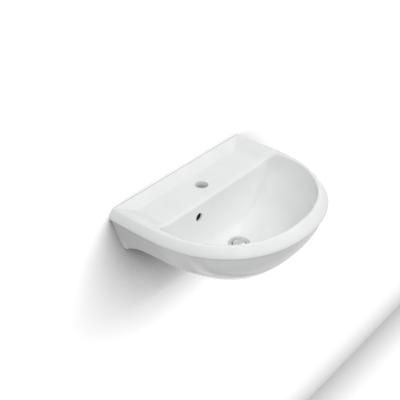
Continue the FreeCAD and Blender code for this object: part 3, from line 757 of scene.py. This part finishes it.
    def _bowl_side(self) -> List[Loop]:
        """Makes the loops of the bowl, the deck and the slopes round it.

        Returns:
            The loops, from the waste's seat up to the crest of the rim.
        """
        loops = self._seat(self._bowl_at(math.pi / 2))
        grid = np.linspace(0, math.pi / 2, 241)
        table = np.array([self._bowl_at(float(p)) for p in grid])
        over = table[:, :, 2] - np.array([self.dish(level[:, :2]) for level in table])
        first = np.argmax(over < 0, axis=0)
        column = np.arange(table.shape[1])
        before = np.maximum(first - 1, 0)
        a, b = over[before, column], over[first, column]
        mix = np.where(first > 0, a / np.where(a - b == 0, 1, a - b), 0.0)
        lip = self._sample(table, grid, grid[before] + (grid[first] - grid[before]) * mix)
        lip[:, 2] = self.dish(lip[:, :2])
        below_lip = np.clip((self.lip_reach - lip[:, 2]) / -self.floor_z, 0, 1)
        psi_top = np.arcsin(below_lip ** (self.bowl_roundness / 2))
        rows = 40
        for k in range(rows + 1):
            share = 1 - k / rows
            loops.append(self._sample(table, grid, psi_top + (math.pi / 2 - psi_top) * share ** 1.15))
        inset = self.crest_inset
        crest = self.rim_loop(self.land_half - inset, self.land_half - self.wall_taper - inset,
                              self.land_rear + inset, self.land_front - inset, 0.0)
        crest[:, 2] = self.dish(crest[:, :2])
        reach = np.linalg.norm(crest[:, :2] - lip[:, :2], axis=1)
        outer = lip + (crest - lip) * (np.minimum(self.lip_reach, 0.55 * reach) / reach)[:, None]
        outer[:, 2] = self.dish(outer[:, :2])
        loops += bezier(loops[-1], lip, outer, steps=7)
        rows = 34
        for k in range(1, rows + 1):
            loop = outer + (crest - outer) * (k / rows)
            loop[:, 2] = self.dish(loop[:, :2])
            loops.append(loop)
        return loops

    def _band(self, u: float) -> Loop:
        """Makes a loop of the rim's band.

        Args:
            u: share of the way from the land to the widest line.

        Returns:
            The loop.
        """
        lean = (1 - u) ** 1.5
        half = self.half_width - self.band_side_lean * lean
        return self.rim_loop(half, half - self.wall_taper, 0.0, self.depth - self.band_front_lean * lean,
                             -self.band_drop * u)

    # ---- outside

    def _shell_share(self, z: float) -> float:
        """Returns the share of the way from the band down to the underside."""
        return (z + self.band_drop) / (self.underside_z + self.band_drop)

    def _flank_share(self, z: float) -> float:
        """Returns the share of the way from the band down to the flanks' foot."""
        return (z + self.band_drop) / (self.flank_foot_z + self.band_drop)

    def _shell_size(self, z: float) -> Pair:
        """Returns the half width and the front of the bowl's outside at a height."""
        u = self._shell_share(z)
        return (self.half_width - self.shell_inset - self.shell_side_draw * u ** self.shell_side_curve,
                self.depth - self.shell_inset - self.shell_front_draw * u ** self.shell_front_curve)

    def _flank_size(self, z: float) -> Pair:
        """Returns the half width and the front of the curve that the flanks follow at a height."""
        lean = self._flank_share(z)
        return (self.half_width - self.flank_inset - self.flank_side_draw * lean,
                self.depth - self.flank_front_inset - self.flank_front_draw * lean)

    def _shell_rear(self, z: float) -> float:
        """Returns the distance from the wall to the outside of the bowl's rear wall at a height."""
        return self.bowl_rear - self.rear_wall + self.shell_rear_draw * self._shell_share(z) ** 2

    def shell_loop(self, z: float) -> Loop:
        """Makes a loop of the bowl's outside, below the flanks.

        Args:
            z: height.

        Returns:
            The loop.
        """
        half, front = self._shell_size(z)
        flank_half, flank_front = self._flank_size(z)
        aft_half = min(flank_half - self.flank_step, half)
        aft_front = min(flank_front - self.flank_step, front)
        rear = self._shell_rear(z)
        begin = rear + self.shell_corner

        def front_curve(angle: np.ndarray) -> np.ndarray:
            c, s = np.cos(angle), np.sin(angle)
            base = self.straight + (front - self.straight) * np.abs(s) ** (2 / self.fullness)
            out = base + (begin - self.straight) * (1 - smoothstep(self.straight, self.bulge_end, base))
            full = np.where(base >= self.bulge_end, half * np.abs(c) ** (2 / self.fullness),
                            self.side_x(half, front, out))
            bulge = smoothstep(self.bulge_start, self.bulge_end, out)
            x = self.side_x(aft_half, aft_front, out) * (1 - bulge) + full * bulge
            return np.column_stack([x * np.sign(c), out])

        waist = float(self.side_x(aft_half, aft_front, np.array([begin]))[0])
        return self.closed_loop(waist, rear, front_curve, self.shell_corner, 0.0, z)

    def flank_loop(self, z: float) -> Loop:
        """Makes a loop of the outside between the band and the flanks' foot.

        Args:
            z: height.

        Returns:
            The loop.
        """
        half, front = self._shell_size(z)
        flank_half, flank_front = self._flank_size(z)
        loop = self.rim_loop(half, half, 0.0, front, z)
        begin = self.rear_points
        x, out = loop[begin:, 0], loop[begin:, 1]
        near_wall = np.clip(1 - out / self.straight, 0, 1)
        flare = self.flank_flare * self._flank_share(z) * near_wall ** 2
        flank = self.side_x(flank_half, flank_front, out) + flare
        aft_half = min(flank_half - self.flank_step, half)
        aft = self.side_x(aft_half, min(flank_front - self.flank_step, front), out)
        bulge = smoothstep(self.bulge_start, self.bulge_end, out)
        blended = aft * (1 - bulge) + np.abs(x) * bulge
        loop[begin:, 0] = np.sign(x) * soft_max(blended, flank, 1.5)
        corner_x = abs(loop[begin, 0])
        loop[:begin, 0] = -corner_x + 2 * corner_x * self.rear
        return loop

    def flank_face(self, z: float, out: float) -> float:
        """Finds the half width over a flank's outer face.

        Args:
            z: height.
            out: distance from the wall.

        Returns:
            The half width.
        """
        stretch = self.flank_loop(z)[self.rear_points:self.rear_points + self.side_points]
        return float(np.interp(out, stretch[:, 1], stretch[:, 0]))

    def sweep(self, out: np.ndarray) -> np.ndarray:
        """Finds how far a flank's lower edge hangs below its level part.

        Args:
            out: distances from the wall.

        Returns:
            One drop per distance.
        """
        reach = np.clip(self.sweep_out - np.maximum(out, self.panel_out), 0, None)
        return self.sweep_radius - np.sqrt(self.sweep_radius ** 2 - reach ** 2)

    def _outside(self, crest: Loop) -> List[Loop]:
        """Makes the loops of the band and the flanks.

        Args:
            crest: loop that they start from.

        Returns:
            The loops, down to just above the flanks' foot.
        """
        taper, inset = self.wall_taper, self.under_band_inset
        land = self.rim_loop(self.land_half, self.land_half - taper, self.land_rear, self.land_front, 0.0)
        loops = bezier(crest, land, self._band(0.0), self._band(0.12), steps=8)
        loops += [self._band(0.12 + 0.8 * k / 12) for k in range(1, 13)]
        widest = self.rim_loop(self.half_width, self.half_width - taper, 0.0, self.depth, self.widest_z)
        under = self.rim_loop(self.half_width - inset, self.half_width - self.shell_inset, 0.0,
                              self.depth - inset, self.under_band_z)
        loops += bezier(loops[-1], widest, under, steps=7)
        top = self.flank_top_z
        loops += bezier(under, self.flank_loop(self.under_band_z - 0.2), self.flank_loop(top), steps=4)
        loops += [self.flank_loop(top - 80.0 * k / 24) for k in range(1, 25)]
        return loops

    def _underneath(self) -> List[Loop]:
        """Makes the loops of the underside.

        Returns:
            The loops, from the flanks' foot, under the body and up the outlet.
        """
        edge = self.flank_loop(self.flank_foot_z)
        shell = self.shell_loop(self.flank_foot_z)
        gap = np.linalg.norm(edge[:, :2] - shell[:, :2], axis=1)
        radius = np.minimum(np.clip(self.foot_radius - self.sweep(edge[:, 1]), 0.05, None), gap / 2.5)
        share = (radius / np.maximum(gap, 1e-6))[:, None]
        upper = self.flank_loop(self.flank_foot_z + self.foot_radius)
        above = edge + (upper - edge) * (radius / self.foot_radius)[:, None]
        inward = edge + (shell - edge) * share
        loops = [above] + bezier(above, edge, inward, steps=5)
        loops += [inward + (shell - inward) * (k / 8) for k in range(1, 9)]
        loops += [self.shell_loop(self.flank_foot_z - 44.0 * k / 12) for k in range(1, 13)]
        foot = self.shell_loop(self.underside_z)
        boss = self.circle(self.boss_radius + 4, self.underside_z, foot)
        inset = foot + (boss - foot) * 0.07
        loops += bezier(loops[-1], foot, inset, steps=6)
        loops += [inset + (boss - inset) * (k / 8) for k in range(1, 9)]
        side, low = self.boss_radius, self.boss_z
        loops += bezier(boss, self.circle(side, self.underside_z, foot),
                        self.circle(side, self.underside_z - 4, foot), steps=4)
        loops += bezier(self.circle(side, low + 2, foot), self.circle(side, low, foot),
                        self.circle(side - 2, low, foot), steps=3)
        loops += [self.circle(34.0, low, foot), self.circle(self.outlet_radius, low, foot)]
        floor = self._bowl_at(math.pi / 2)
        loops += [self.circle(self.outlet_radius, self.outlet_z - self.seat_depth, floor)]
        return loops

    # ---- solids that are cut from the skin or added to it

    def _pocket(self) -> bpy.types.Object:
        """Makes the cutter of the hollow under the deck.

        Returns:
            A solid with upright rounded corners and a rounded ceiling.
        """
        corner = self.pocket_corner
        rows = []
        for z, inset in ((-125.0, 0.0), (-100.0, 0.0), (-70.0, 0.0), (-45.0, 0.0), (-38.0, 0.8), (-34.0, 3.0),
                         (-31.5, 8.0)):
            x = self._flank_size(z)[0] - self.flank_thickness - inset - corner
            low, high = self.panel_out + inset + corner, self._shell_rear(z) - inset - 0.5 - corner
            loop: List[Pair] = []
            for middle, start in (((x, high), 0), ((-x, high), 90), ((-x, low), 180), ((x, low), 270)):
                loop += arc(middle, corner, start, start + 90, 8)
            rows.append(np.array([(px, out, z) for px, out in loop]))
        return ring_mesh("pocket", rows, close=False)

    def _gusset(self, side: int) -> bpy.types.Object:
        """Makes the lower edge of one flank, sweeping down from its level part to the panel.

        Args:
            side: -1 for the left flank and 1 for the right one.

        Returns:
            A solid whose outer face carries on the flank's.
        """
        top, radius, thickness = self.seam_z, self.foot_radius, self.flank_thickness - 0.5
        proud, sunk, past = 0.03, 0.15, 8.0
        rows = []
        for out in np.concatenate([[0.02], np.linspace(4, self.sweep_out + past, 43)]):
            foot = self.flank_foot_z - float(self.sweep(np.array(out)))
            if out >= self.sweep_out - past / 2:
                foot += sunk
            heights = [top + (foot + radius - top) * i / 4 for i in range(5)]
            loop = [(self.flank_face(z, out) + proud, z) for z in heights]
            loop += arc((loop[-1][0] - radius, foot + radius), radius, 0, -90, 6)[1:]
            loop += [(loop[-1][0] - thickness + radius, foot), (loop[0][0] - thickness, top)]
            rows.append(np.array([(side * x, out, z) for x, z in loop]))
        return ring_mesh("gusset", rows, close=False)

    def _panel(self) -> bpy.types.Object:
        """Makes the lower part of the wall panel.

        Returns:
            A plate whose sides carry on the flanks' lean.
        """
        run, fall = self.flank_side_draw - self.flank_flare, self.band_drop + self.flank_foot_z
        lean = math.degrees(math.atan2(run, -fall))
        corner, foot = self.panel_corner, self.panel_foot_z

        def side(z: float) -> float:
            return self.half_width - self.flank_inset - 0.5 - run * (z + self.band_drop) / fall

        middle = side(foot) - corner * math.tan(math.radians((90 - lean) / 2))
        outline = [(side(self.seam_z), self.seam_z)]
        outline += arc((middle, foot + corner), corner, -lean, -90, 12)
        outline += arc((-middle, foot + corner), corner, -90, lean - 180, 12)
        outline.append((-side(self.seam_z), self.seam_z))
        centre_z = self.seam_z - self.panel_edge
        rows = []
        for out, inset in ((0.0, 0.0), (self.panel_out - self.panel_edge, 0.0), (self.panel_out - 0.9, 0.9),
                           (self.panel_out, self.panel_edge)):
            loop = []
            for x, z in outline:
                scale = 1 - inset / max(math.hypot(x, z - centre_z), 1.0)
                loop.append((x * scale, out, centre_z + (z - centre_z) * scale))
            rows.append(np.array(loop))
        return ring_mesh("panel", rows, close=False)

    def _hole_cutter(self, radius: float, lip: float, depth: float, centre: Point,
                     way: Way) -> bpy.types.Object:
        """Makes the cutter of a round hole whose mouth is rounded.

        Args:
            radius: of the hole.
            lip: radius of the mouth's rounding.
            depth: how far the hole goes below the surface.
            centre: point of the axis on the surface.
            way: the hole's axis.

        Returns:
            The cutter.
        """
        sign = 1 if way is Way.UP else -1
        profile = [(0.0, -sign * depth), (radius, -sign * depth), (radius, -sign * self.glaze_and_shade_reach)]
        for step in range(9):
            a = math.radians(82 * step / 8)
            profile.append((radius + lip * (1 - math.cos(a)), sign * lip * (math.sin(a) - 1)))
        profile += [(profile[-1][0], sign * 6.0), (0.0, sign * 6.0)]
        cutter = turned("cutter", profile, centre, way, 72)
        smooth(cutter)
        return cutter

    def _casing(self) -> bpy.types.Object:
        """Makes the upright casing of the overflow duct."""
        x, y = self.overflow_x, -self.duct_out
        return block("casing", (x - self.casing_half, y - self.casing_depth, self.casing_foot_z),
                     (x + self.casing_half, y + self.casing_depth, self.casing_top_z), self.casing_rounding)

    def _level_casing(self) -> bpy.types.Object:
        """Makes the casing of the duct's level run.

        Returns:
            A block from the upright casing to the outlet's boss.
        """
        run = block("casing", (-self.casing_half, 0, self.casing_foot_z),
                    (self.casing_half, self.level_run, self.casing_foot_z + self.level_height),
                    self.casing_rounding)
        toward_outlet = math.atan2(self.duct_out - self.outlet_out, -self.overflow_x)
        run.rotation_euler = (0, 0, toward_outlet - math.pi / 2)
        run.location = (self.overflow_x * MM, -self.duct_out * MM, 0)
        select_only(run)
        bpy.ops.object.transform_apply(location=True, rotation=True, scale=True)
        return run

    def _duct(self) -> bpy.types.Object:
        """Makes the cutter of the overflow duct."""
        x, y = self.overflow_x, -self.duct_out
        return block("duct", (x - self.duct_half, y - self.duct_depth, self.duct_foot_z),
                     (x + self.duct_half, y + self.duct_depth, self.duct_top_z), 3.0)

    def _fixing_hole(self, side: int) -> bpy.types.Object:
        """Makes the cutter of the left (-1) or right (1) wall fixing's hole."""
        radius = self.fixing_radius
        return turned("cutter", [(0, -20), (radius, -20), (radius, 5), (0, 5)],
                      (side * self.fixing_x, 0.0, self.fixing_z), Way.OUT_OF_WALL, 48)

    def build(self) -> bpy.types.Object:
        """Makes the casting.

        Returns:
            The basin body.
        """
        bowl = self._bowl_side()
        loops = bowl + self._outside(bowl[-1]) + self._underneath()
        body = ring_mesh("basin_china", loops, close=True)
        LOG.info("china skin: %d loops, %d faces", len(loops), len(body.data.polygons))
        apply_boolean(body, self._pocket(), "DIFFERENCE")
        for part in (self._panel, self._casing, self._level_casing):
            apply_boolean(body, part(), "UNION")
        tap = self._hole_cutter(self.tap_radius, self.tap_lip, 40.0, (0.0, -self.tap_out, self.deck_z),
                                Way.UP)
        apply_boolean(body, tap, "DIFFERENCE")
        overflow = self._hole_cutter(self.overflow_radius, self.overflow_lip, 26.0,
                                     (self.overflow_x, -self.overflow_out, self.overflow_z), Way.OUT_OF_WALL)
        apply_boolean(body, overflow, "DIFFERENCE")
        apply_boolean(body, self._duct(), "DIFFERENCE")
        for side in (-1, 1):
            apply_boolean(body, self._fixing_hole(side), "DIFFERENCE")
        for side in (-1, 1):
            gusset = self._gusset(side)
            select_only(body)
            gusset.select_set(True)
            bpy.ops.object.join()
        smooth(body, 40.0)
        return body

    def paint_duct_shade(self, body: bpy.types.Object) -> None:
        """Gives the second material, matt and darkened as painted shade, to the faces inside the overflow
        past where the glaze ends.

        Args:
            body: the casting, with both materials.
        """
        near = 0.3
        for face in body.data.polygons:
            x, y, z = (c / MM for c in face.center)
            x -= self.overflow_x
            deep = self.glaze_and_shade_reach - self.overflow_out - near < y < 2 - self.duct_out
            in_hole = deep and math.hypot(x, z - self.overflow_z) < self.overflow_radius + near
            in_width = abs(x) < self.duct_half + near and abs(y + self.duct_out) < self.duct_depth + near
            if in_hole or (in_width and self.duct_foot_z - near < z < self.duct_top_z + near):
                # These faces take the dark material, whose colour is painted shade.
                face.material_index = 1


# ---------------------------------------------------------------- waste and plug

@dataclass
class WasteAssembly:
    """Chromed waste with its plug, in the bowl's outlet."""

    centre: Point = (0.0, -214.0, 0.0)
    flange_r: float = 30.0
    flange_top: float = -153.3
    flange_foot: float = -156.0
    throat_r: float = 20.5
    throat_foot: float = -160.3
    throat_bore_r: float = 16.0
    neck_r: float = 22.3
    neck_length: float = 8.0
    tail_r: float = 20.95
    bore_r: float = 18.2
    tail_end: float = -238.0
    groove_top: float = -205.0
    groove_foot: float = -207.4
    thread_pitch: float = 25.4 / 11
    thread_depth: float = 0.9
    slot_half: float = 7.5
    slot_top: float = -166.75
    slot_foot: float = -174.75
    bridge_half: float = 4.5
    bridge_top: float = -191.7
    bridge_foot: float = -196.7
    bridge_boss_r: float = 7.0
    bridge_hole_r: float = 4.05
    plug_r: float = 17.5
    plug_sink: float = 1.0
    plug_crown: float = 1.2
    plug_boss_r: float = 6.0
    plug_hole_r: float = 3.05

    def body(self) -> bpy.types.Object:
        """Makes the flange, throat and threaded tail with its overflow slots and bridge.

        Returns:
            The waste.
        """
        top, foot, flange_r, tail_r = self.flange_top, self.flange_foot, self.flange_r, self.tail_r
        throat = (self.throat_r, top - 0.4)
        profile: List[Pair] = [throat]
        profile += arc((self.throat_r + 0.5, top - 0.5), 0.5, 170, 90, 3)
        profile += arc((flange_r - 2.2, top - 1.1), 1.1, 90, 62, 3)
        profile += [(flange_r - 0.4, top - 1.35), (flange_r, top - 1.8), (flange_r, foot + 0.3),
                    (flange_r - 0.3, foot), (self.neck_r, foot), (self.neck_r, foot - self.neck_length),
                    (tail_r, foot - self.neck_length)]
        profile += self._thread(foot - self.neck_length - 1, self.groove_top)
        profile += [(tail_r - 0.7, self.groove_top - 0.4), (tail_r - 0.7, self.groove_foot + 0.6)]
        profile += self._thread(self.groove_foot, self.tail_end + 1.4)
        profile += [(tail_r - 1, self.tail_end), (self.bore_r, self.tail_end),
                    (self.bore_r, self.throat_foot - 2), (self.throat_bore_r, self.throat_foot - 2),
                    (self.throat_bore_r, self.throat_foot), throat]
        body = turned("waste", profile, self.centre)
        middle = self.centre[1]
        slot = block("slot", (-24, middle - self.slot_half, self.slot_foot),
                     (24, middle + self.slot_half, self.slot_top), 3.5)
        apply_boolean(body, slot, "DIFFERENCE")
        bridge = block("bridge", (-19.5, middle - self.bridge_half, self.bridge_foot),
                       (19.5, middle + self.bridge_half, self.bridge_top), 1.0)
        apply_boolean(body, bridge, "UNION")
        apply_boolean(body, self._rod("boss", self.bridge_boss_r, self.bridge_foot, self.bridge_top), "UNION")
        apply_boolean(body, self._rod("neck", self.bridge_hole_r, -200, -188), "DIFFERENCE")
        smooth(body)
        return body

    def _rod(self, name: str, radius: float, low: float, high: float) -> bpy.types.Object:
        """Makes a plain round bar on the waste's axis, between two heights."""
        return turned(name, [(0, low), (radius, low), (radius, high), (0, high)], self.centre, steps=48)

    def _thread(self, start: float, end: float) -> List[Pair]:
        """Makes the profile of the tail's thread, drawn as closed ridges.

        Args:
            start: height that it runs down from.
            end: height that it stays above.

        Returns:
            The profile's points.
        """
        pitch, crest, root = self.thread_pitch, self.tail_r, self.tail_r - self.thread_depth
        points: List[Pair] = []
        z = start
        while z - pitch > end:
            points += [(crest, z - 0.25 * pitch), (crest, z - 0.4 * pitch), (root, z - 0.75 * pitch),
                       (root, z - 0.9 * pitch)]
            z -= pitch
        return points

    def plug(self) -> bpy.types.Object:
        """Makes the domed plug cap with a rounded edge and its boss.

        Returns:
            The plug cap.
        """
        edge, crown, radius = self.flange_top - self.plug_sink, self.plug_crown, self.plug_r
        boss_r, hole_r, boss_foot, hole_top = self.plug_boss_r, self.plug_hole_r, edge - 8.0, edge - 2.2
        profile: List[Pair] = [(0.0, edge + crown)]
        for i in range(1, 13):
            r = (radius - 1.0) * i / 12
            profile.append((r, edge + crown - crown * 0.9 * (r / radius) ** 2))
        profile += arc((radius - 0.9, edge - 0.85), 0.9, 60, 0, 4)
        profile += [(radius, edge - 2.7), (radius - 0.3, edge - 3.0), (boss_r, edge - 3.0),
                    (boss_r, boss_foot), (hole_r, boss_foot), (hole_r, hole_top), (0.0, hole_top)]
        plug = turned("plug", profile, self.centre)
        smooth(plug)
        return plug

    def build(self) -> Dict[str, bpy.types.Object]:
        """Makes the pieces that show, by CAD node."""
        return {"waste_body": self.body(), "plug_cap": self.plug()}


# ---------------------------------------------------------------- studio

@dataclass(frozen=True)
class Lamp:
    """Square area light that faces the basin.

    Attributes:
        name: object name.
        place: where it hangs, in metres.
        size: length of its side, in metres.
        power: in watts.
    """

    name: str
    place: Point
    size: float
    power: float

    def build(self, target: Point) -> bpy.types.Object:
        """Makes the lamp.

        Args:
            target: point that it faces, in metres.

        Returns:
            The lamp, which reflections don't show.
        """
        data = bpy.data.lights.new(self.name, "AREA")
        data.shape = "SQUARE"
        data.size = self.size
        data.energy = self.power
        lamp = bpy.data.objects.new(self.name, data)
        bpy.context.scene.collection.objects.link(lamp)
        lamp.location = self.place
        aim = Vector(target) - Vector(self.place)
        lamp.rotation_euler = aim.to_track_quat("-Z", "Y").to_euler()
        lamp.visible_glossy = False
        return lamp


@dataclass
class Studio:
    """Wall, floor, world, lamps and camera.

    Attributes:
        azimuth: of the camera round Z, in degrees.
        elevation: of the camera, in degrees.
        distance: from the frame's origin to the camera, along its axis.
        focal_pixels: focal length, in pixels of the photo.
        shift_right: the camera's way to its own right.
        shift_up: the camera's way to its own up.
        picture: width of the photo, in pixels.
        window: right half of the hole in the wall, just inside the outline of the basin's rear face.
        wall_y: place of the wall, in metres, just behind that face.
        floor_z: height of the floor, in metres.
        lamps: the two lamps.
        target: point that they face, in metres.
    """

    azimuth: float = -50.053
    elevation: float = 33.257
    distance: float = 2258.65
    focal_pixels: float = 819.865
    shift_right: float = 57.856
    shift_up: float = -86.879
    picture: int = 400
    window: Tuple[Pair, ...] = (
        (223.0, -141.4), (227.3, -139.8), (229.6, -137.0), (264.1, -34.0), (267.0, -31.5), (270.4, -28.5),
        (271.5, -25.0), (270.9, -22.0), (269.4, -18.0), (266.6, -14.0), (264.0, -10.5), (258.8, -3.8))
    wall_y: float = 0.0004
    floor_z: float = -1.6
    lamps: Tuple[Lamp, ...] = (Lamp("key", (1.5, -1.4, 2.0), 1.5, 25.0),
                               Lamp("top", (-1.4, -1.2, 1.8), 1.8, 22.0))
    target: Point = (0.0, -0.2, -0.08)

    def camera(self) -> None:
        """Makes the camera that matches the photo."""
        a, e = math.radians(self.azimuth), math.radians(self.elevation)
        right = Vector((math.cos(a), math.sin(a), 0))
        back = Vector((math.sin(a) * math.cos(e), -math.cos(a) * math.cos(e), math.sin(e)))
        up = back.cross(right)
        data = bpy.data.cameras.new("camera")
        data.sensor_width = 36.0
        data.lens = self.focal_pixels * data.sensor_width / self.picture
        data.clip_end = 20.0
        data.dof.use_dof = False
        camera = bpy.data.objects.new("camera", data)
        bpy.context.scene.collection.objects.link(camera)
        camera.location = (back * self.distance + right * self.shift_right + up * self.shift_up) * MM
        camera.rotation_euler = back.to_track_quat("Z", "Y").to_euler()
        bpy.context.scene.camera = camera

    def _shadow(self, tree: bpy.types.NodeTree) -> bpy.types.NodeSocket:
        """Adds the soft shadow that the basin throws on the wall, darkest next to it and below it.

        Args:
            tree: node tree of the paint.

        Returns:
            A socket that is 1 far from the basin and falls toward it.
        """
        toward_light = add_node(tree, "ShaderNodeCombineXYZ", X=-0.22, Y=-0.55, Z=0.8).outputs["Vector"]
        below = add_node(tree, "ShaderNodeAmbientOcclusion", samples=16, Distance=0.36, Normal=toward_light)
        below = add_node(tree, "ShaderNodeMapRange", Value=below.outputs["AO"], From_Min=0.42,
                         From_Max=0.99, To_Min=0.1, To_Max=1.0)
        close = add_node(tree, "ShaderNodeAmbientOcclusion", samples=16, Distance=0.2)
        close = add_node(tree, "ShaderNodeMapRange", Value=close.outputs["AO"], From_Min=0.3,
                         From_Max=1.0, To_Min=0.62, To_Max=1.0)
        both = add_node(tree, "ShaderNodeMath", below.outputs["Result"], close.outputs["Result"],
                        operation="MULTIPLY")
        return both.outputs["Value"]

    def wall_paint(self) -> bpy.types.Material:
        """Makes matt white paint that is clear from behind and holds the basin's soft shadow.

        Returns:
            A material that camera, glossy and transmission rays see whiter than diffuse rays do.
        """
        material = bpy.data.materials.new("matt white wall paint")
        material.use_nodes = True
        tree = material.node_tree
        tree.nodes.clear()
        seen = seen_directly(tree)
        shadow = self._shadow(tree)
        shade = add_node(tree, "ShaderNodeMix", data_type="FLOAT", Factor=seen, A=0.55, B=shadow)
        matt = add_node(tree, "ShaderNodeBsdfDiffuse", Color=shade.outputs["Result"])
        strength = add_node(tree, "ShaderNodeMath", shadow, seen, operation="MULTIPLY")
        lift = add_node(tree, "ShaderNodeEmission", Color=linear("C4C4C4"),
                        Strength=strength.outputs["Value"])
        lit = add_node(tree, "ShaderNodeAddShader", matt.outputs["BSDF"], lift.outputs["Emission"])
        clear = add_node(tree, "ShaderNodeBsdfTransparent")
        side = add_node(tree, "ShaderNodeNewGeometry")
        choose = add_node(tree, "ShaderNodeMixShader", side.outputs["Backfacing"], lit.outputs["Shader"],
                          clear.outputs["BSDF"])
        add_node(tree, "ShaderNodeOutputMaterial", Surface=choose.outputs["Shader"])
        return material

    def wall(self) -> bpy.types.Object:
        """Makes the wall, with a window behind the basin through which light reaches its rear face.

        Returns:
            The wall.
        """
        middle_z, spread_x, spread_z = -70.0, 17, 65
        inner = list(self.window) + [(-x, z) for x, z in reversed(self.window)]
        outer = [(spread_x * x, spread_z * (z - middle_z) + middle_z) for x, z in inner]
        count = len(inner)
        corners = [(x * MM, self.wall_y, z * MM) for x, z in inner + outer]
        faces = [(i, count + i, count + (i + 1) % count, (i + 1) % count) for i in range(count)]
        data = bpy.data.meshes.new("stage_wall")
        data.from_pydata(corners, [], faces)
        wall = bpy.data.objects.new("stage_wall", data)
        bpy.context.scene.collection.objects.link(wall)
        return wall

    def backdrop(self) -> List[bpy.types.Object]:
        """Makes the white wall behind the basin and the white floor under it.

        Returns:
            Both, each seen only from the room.
        """
        bpy.ops.mesh.primitive_plane_add(size=9, location=(0, 0, self.floor_z))
        floor = bpy.context.object
        floor.name = "stage_floor"
        planes = [self.wall(), floor]
        material = self.wall_paint()
        for plane in planes:
            plane.data.materials.append(material)
        return planes

    def world(self) -> None:
        """Makes the world: white where it is seen, and a soft fill that is weakest from the lower right."""
        world = bpy.data.worlds.new("studio")
        bpy.context.scene.world = world
        world.use_nodes = True
        tree = world.node_tree
        sky = tree.nodes["Background"]
        sky.inputs["Color"].default_value = linear("FFFFFF")
        where = add_node(tree, "ShaderNodeTexCoord").outputs["Generated"]
        low_right = add_node(tree, "ShaderNodeVectorMath", where, (0.78, 0.0, -0.62), operation="DOT_PRODUCT")
        fill = add_node(tree, "ShaderNodeMapRange", Value=low_right.outputs["Value"], From_Min=-0.2,
                        From_Max=1.0, To_Min=0.48, To_Max=0.04)
        level = add_node(tree, "ShaderNodeMix", data_type="FLOAT", Factor=seen_directly(tree),
                         A=fill.outputs["Result"], B=1.0)
        tree.links.new(level.outputs["Result"], sky.inputs["Strength"])

    def build(self) -> None:
        """Makes the world, the backdrop, the lamps and the camera."""
        self.world()
        backdrop = self.backdrop()
        lights = [lamp.build(self.target) for lamp in self.lamps]
        self.camera()
        bpy.context.scene.view_settings.view_transform = "Standard"
        LOG.info("studio: wall, floor, camera and %d lamps", len(lights))


# ---------------------------------------------------------------- the whole object

def dress(obj: bpy.types.Object, material: bpy.types.Material) -> None:
    """Gives an object one material."""
    obj.data.materials.clear()
    obj.data.materials.append(material)


def dress_nodes(materials: Dict[str, bpy.types.Material]) -> None:
    """Gives each CAD node its finish.

    Args:
        materials: the finishes' materials, by name.
    """
    for name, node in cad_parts.items():
        dress(node, materials[NODE_FINISHES[name].name])


def place_piece(node: str, obj: bpy.types.Object, body: Body,
                materials: Dict[str, bpy.types.Material]) -> None:
    """Dresses a piece, ties it to its body and lets it stand for its CAD node.

    Args:
        node: name of the CAD node.
        obj: the piece.
        body: body that it rides on.
        materials: the finishes' materials, by name.
    """
    dress(obj, materials[NODE_FINISHES[node].name])
    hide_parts(node)
    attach(obj, body.value)
    LOG.info("%s: %d faces, for %s", obj.name, len(obj.data.polygons), node)


def main() -> None:
    """Builds the basin, its waste and the studio in order."""
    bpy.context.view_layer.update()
    finishes = {finish.name: finish for finish in (*NODE_FINISHES.values(), RAW_CHINA_IN_PAINTED_SHADE)}
    materials = {name: finish.build() for name, finish in finishes.items()}
    dress_nodes(materials)
    casting = ChinaBody()
    china = casting.build()
    place_piece("basin_body", china, Body.BASIN, materials)
    # The second material paints shade into the overflow duct.
    china.data.materials.append(materials[RAW_CHINA_IN_PAINTED_SHADE.name])
    casting.paint_duct_shade(china)
    waste = WasteAssembly().build()
    place_piece("waste_body", waste["waste_body"], Body.BASIN, materials)
    place_piece("plug_cap", waste["plug_cap"], Body.PLUG, materials)
    Studio().build()


if __name__ == "__main__":
    main()
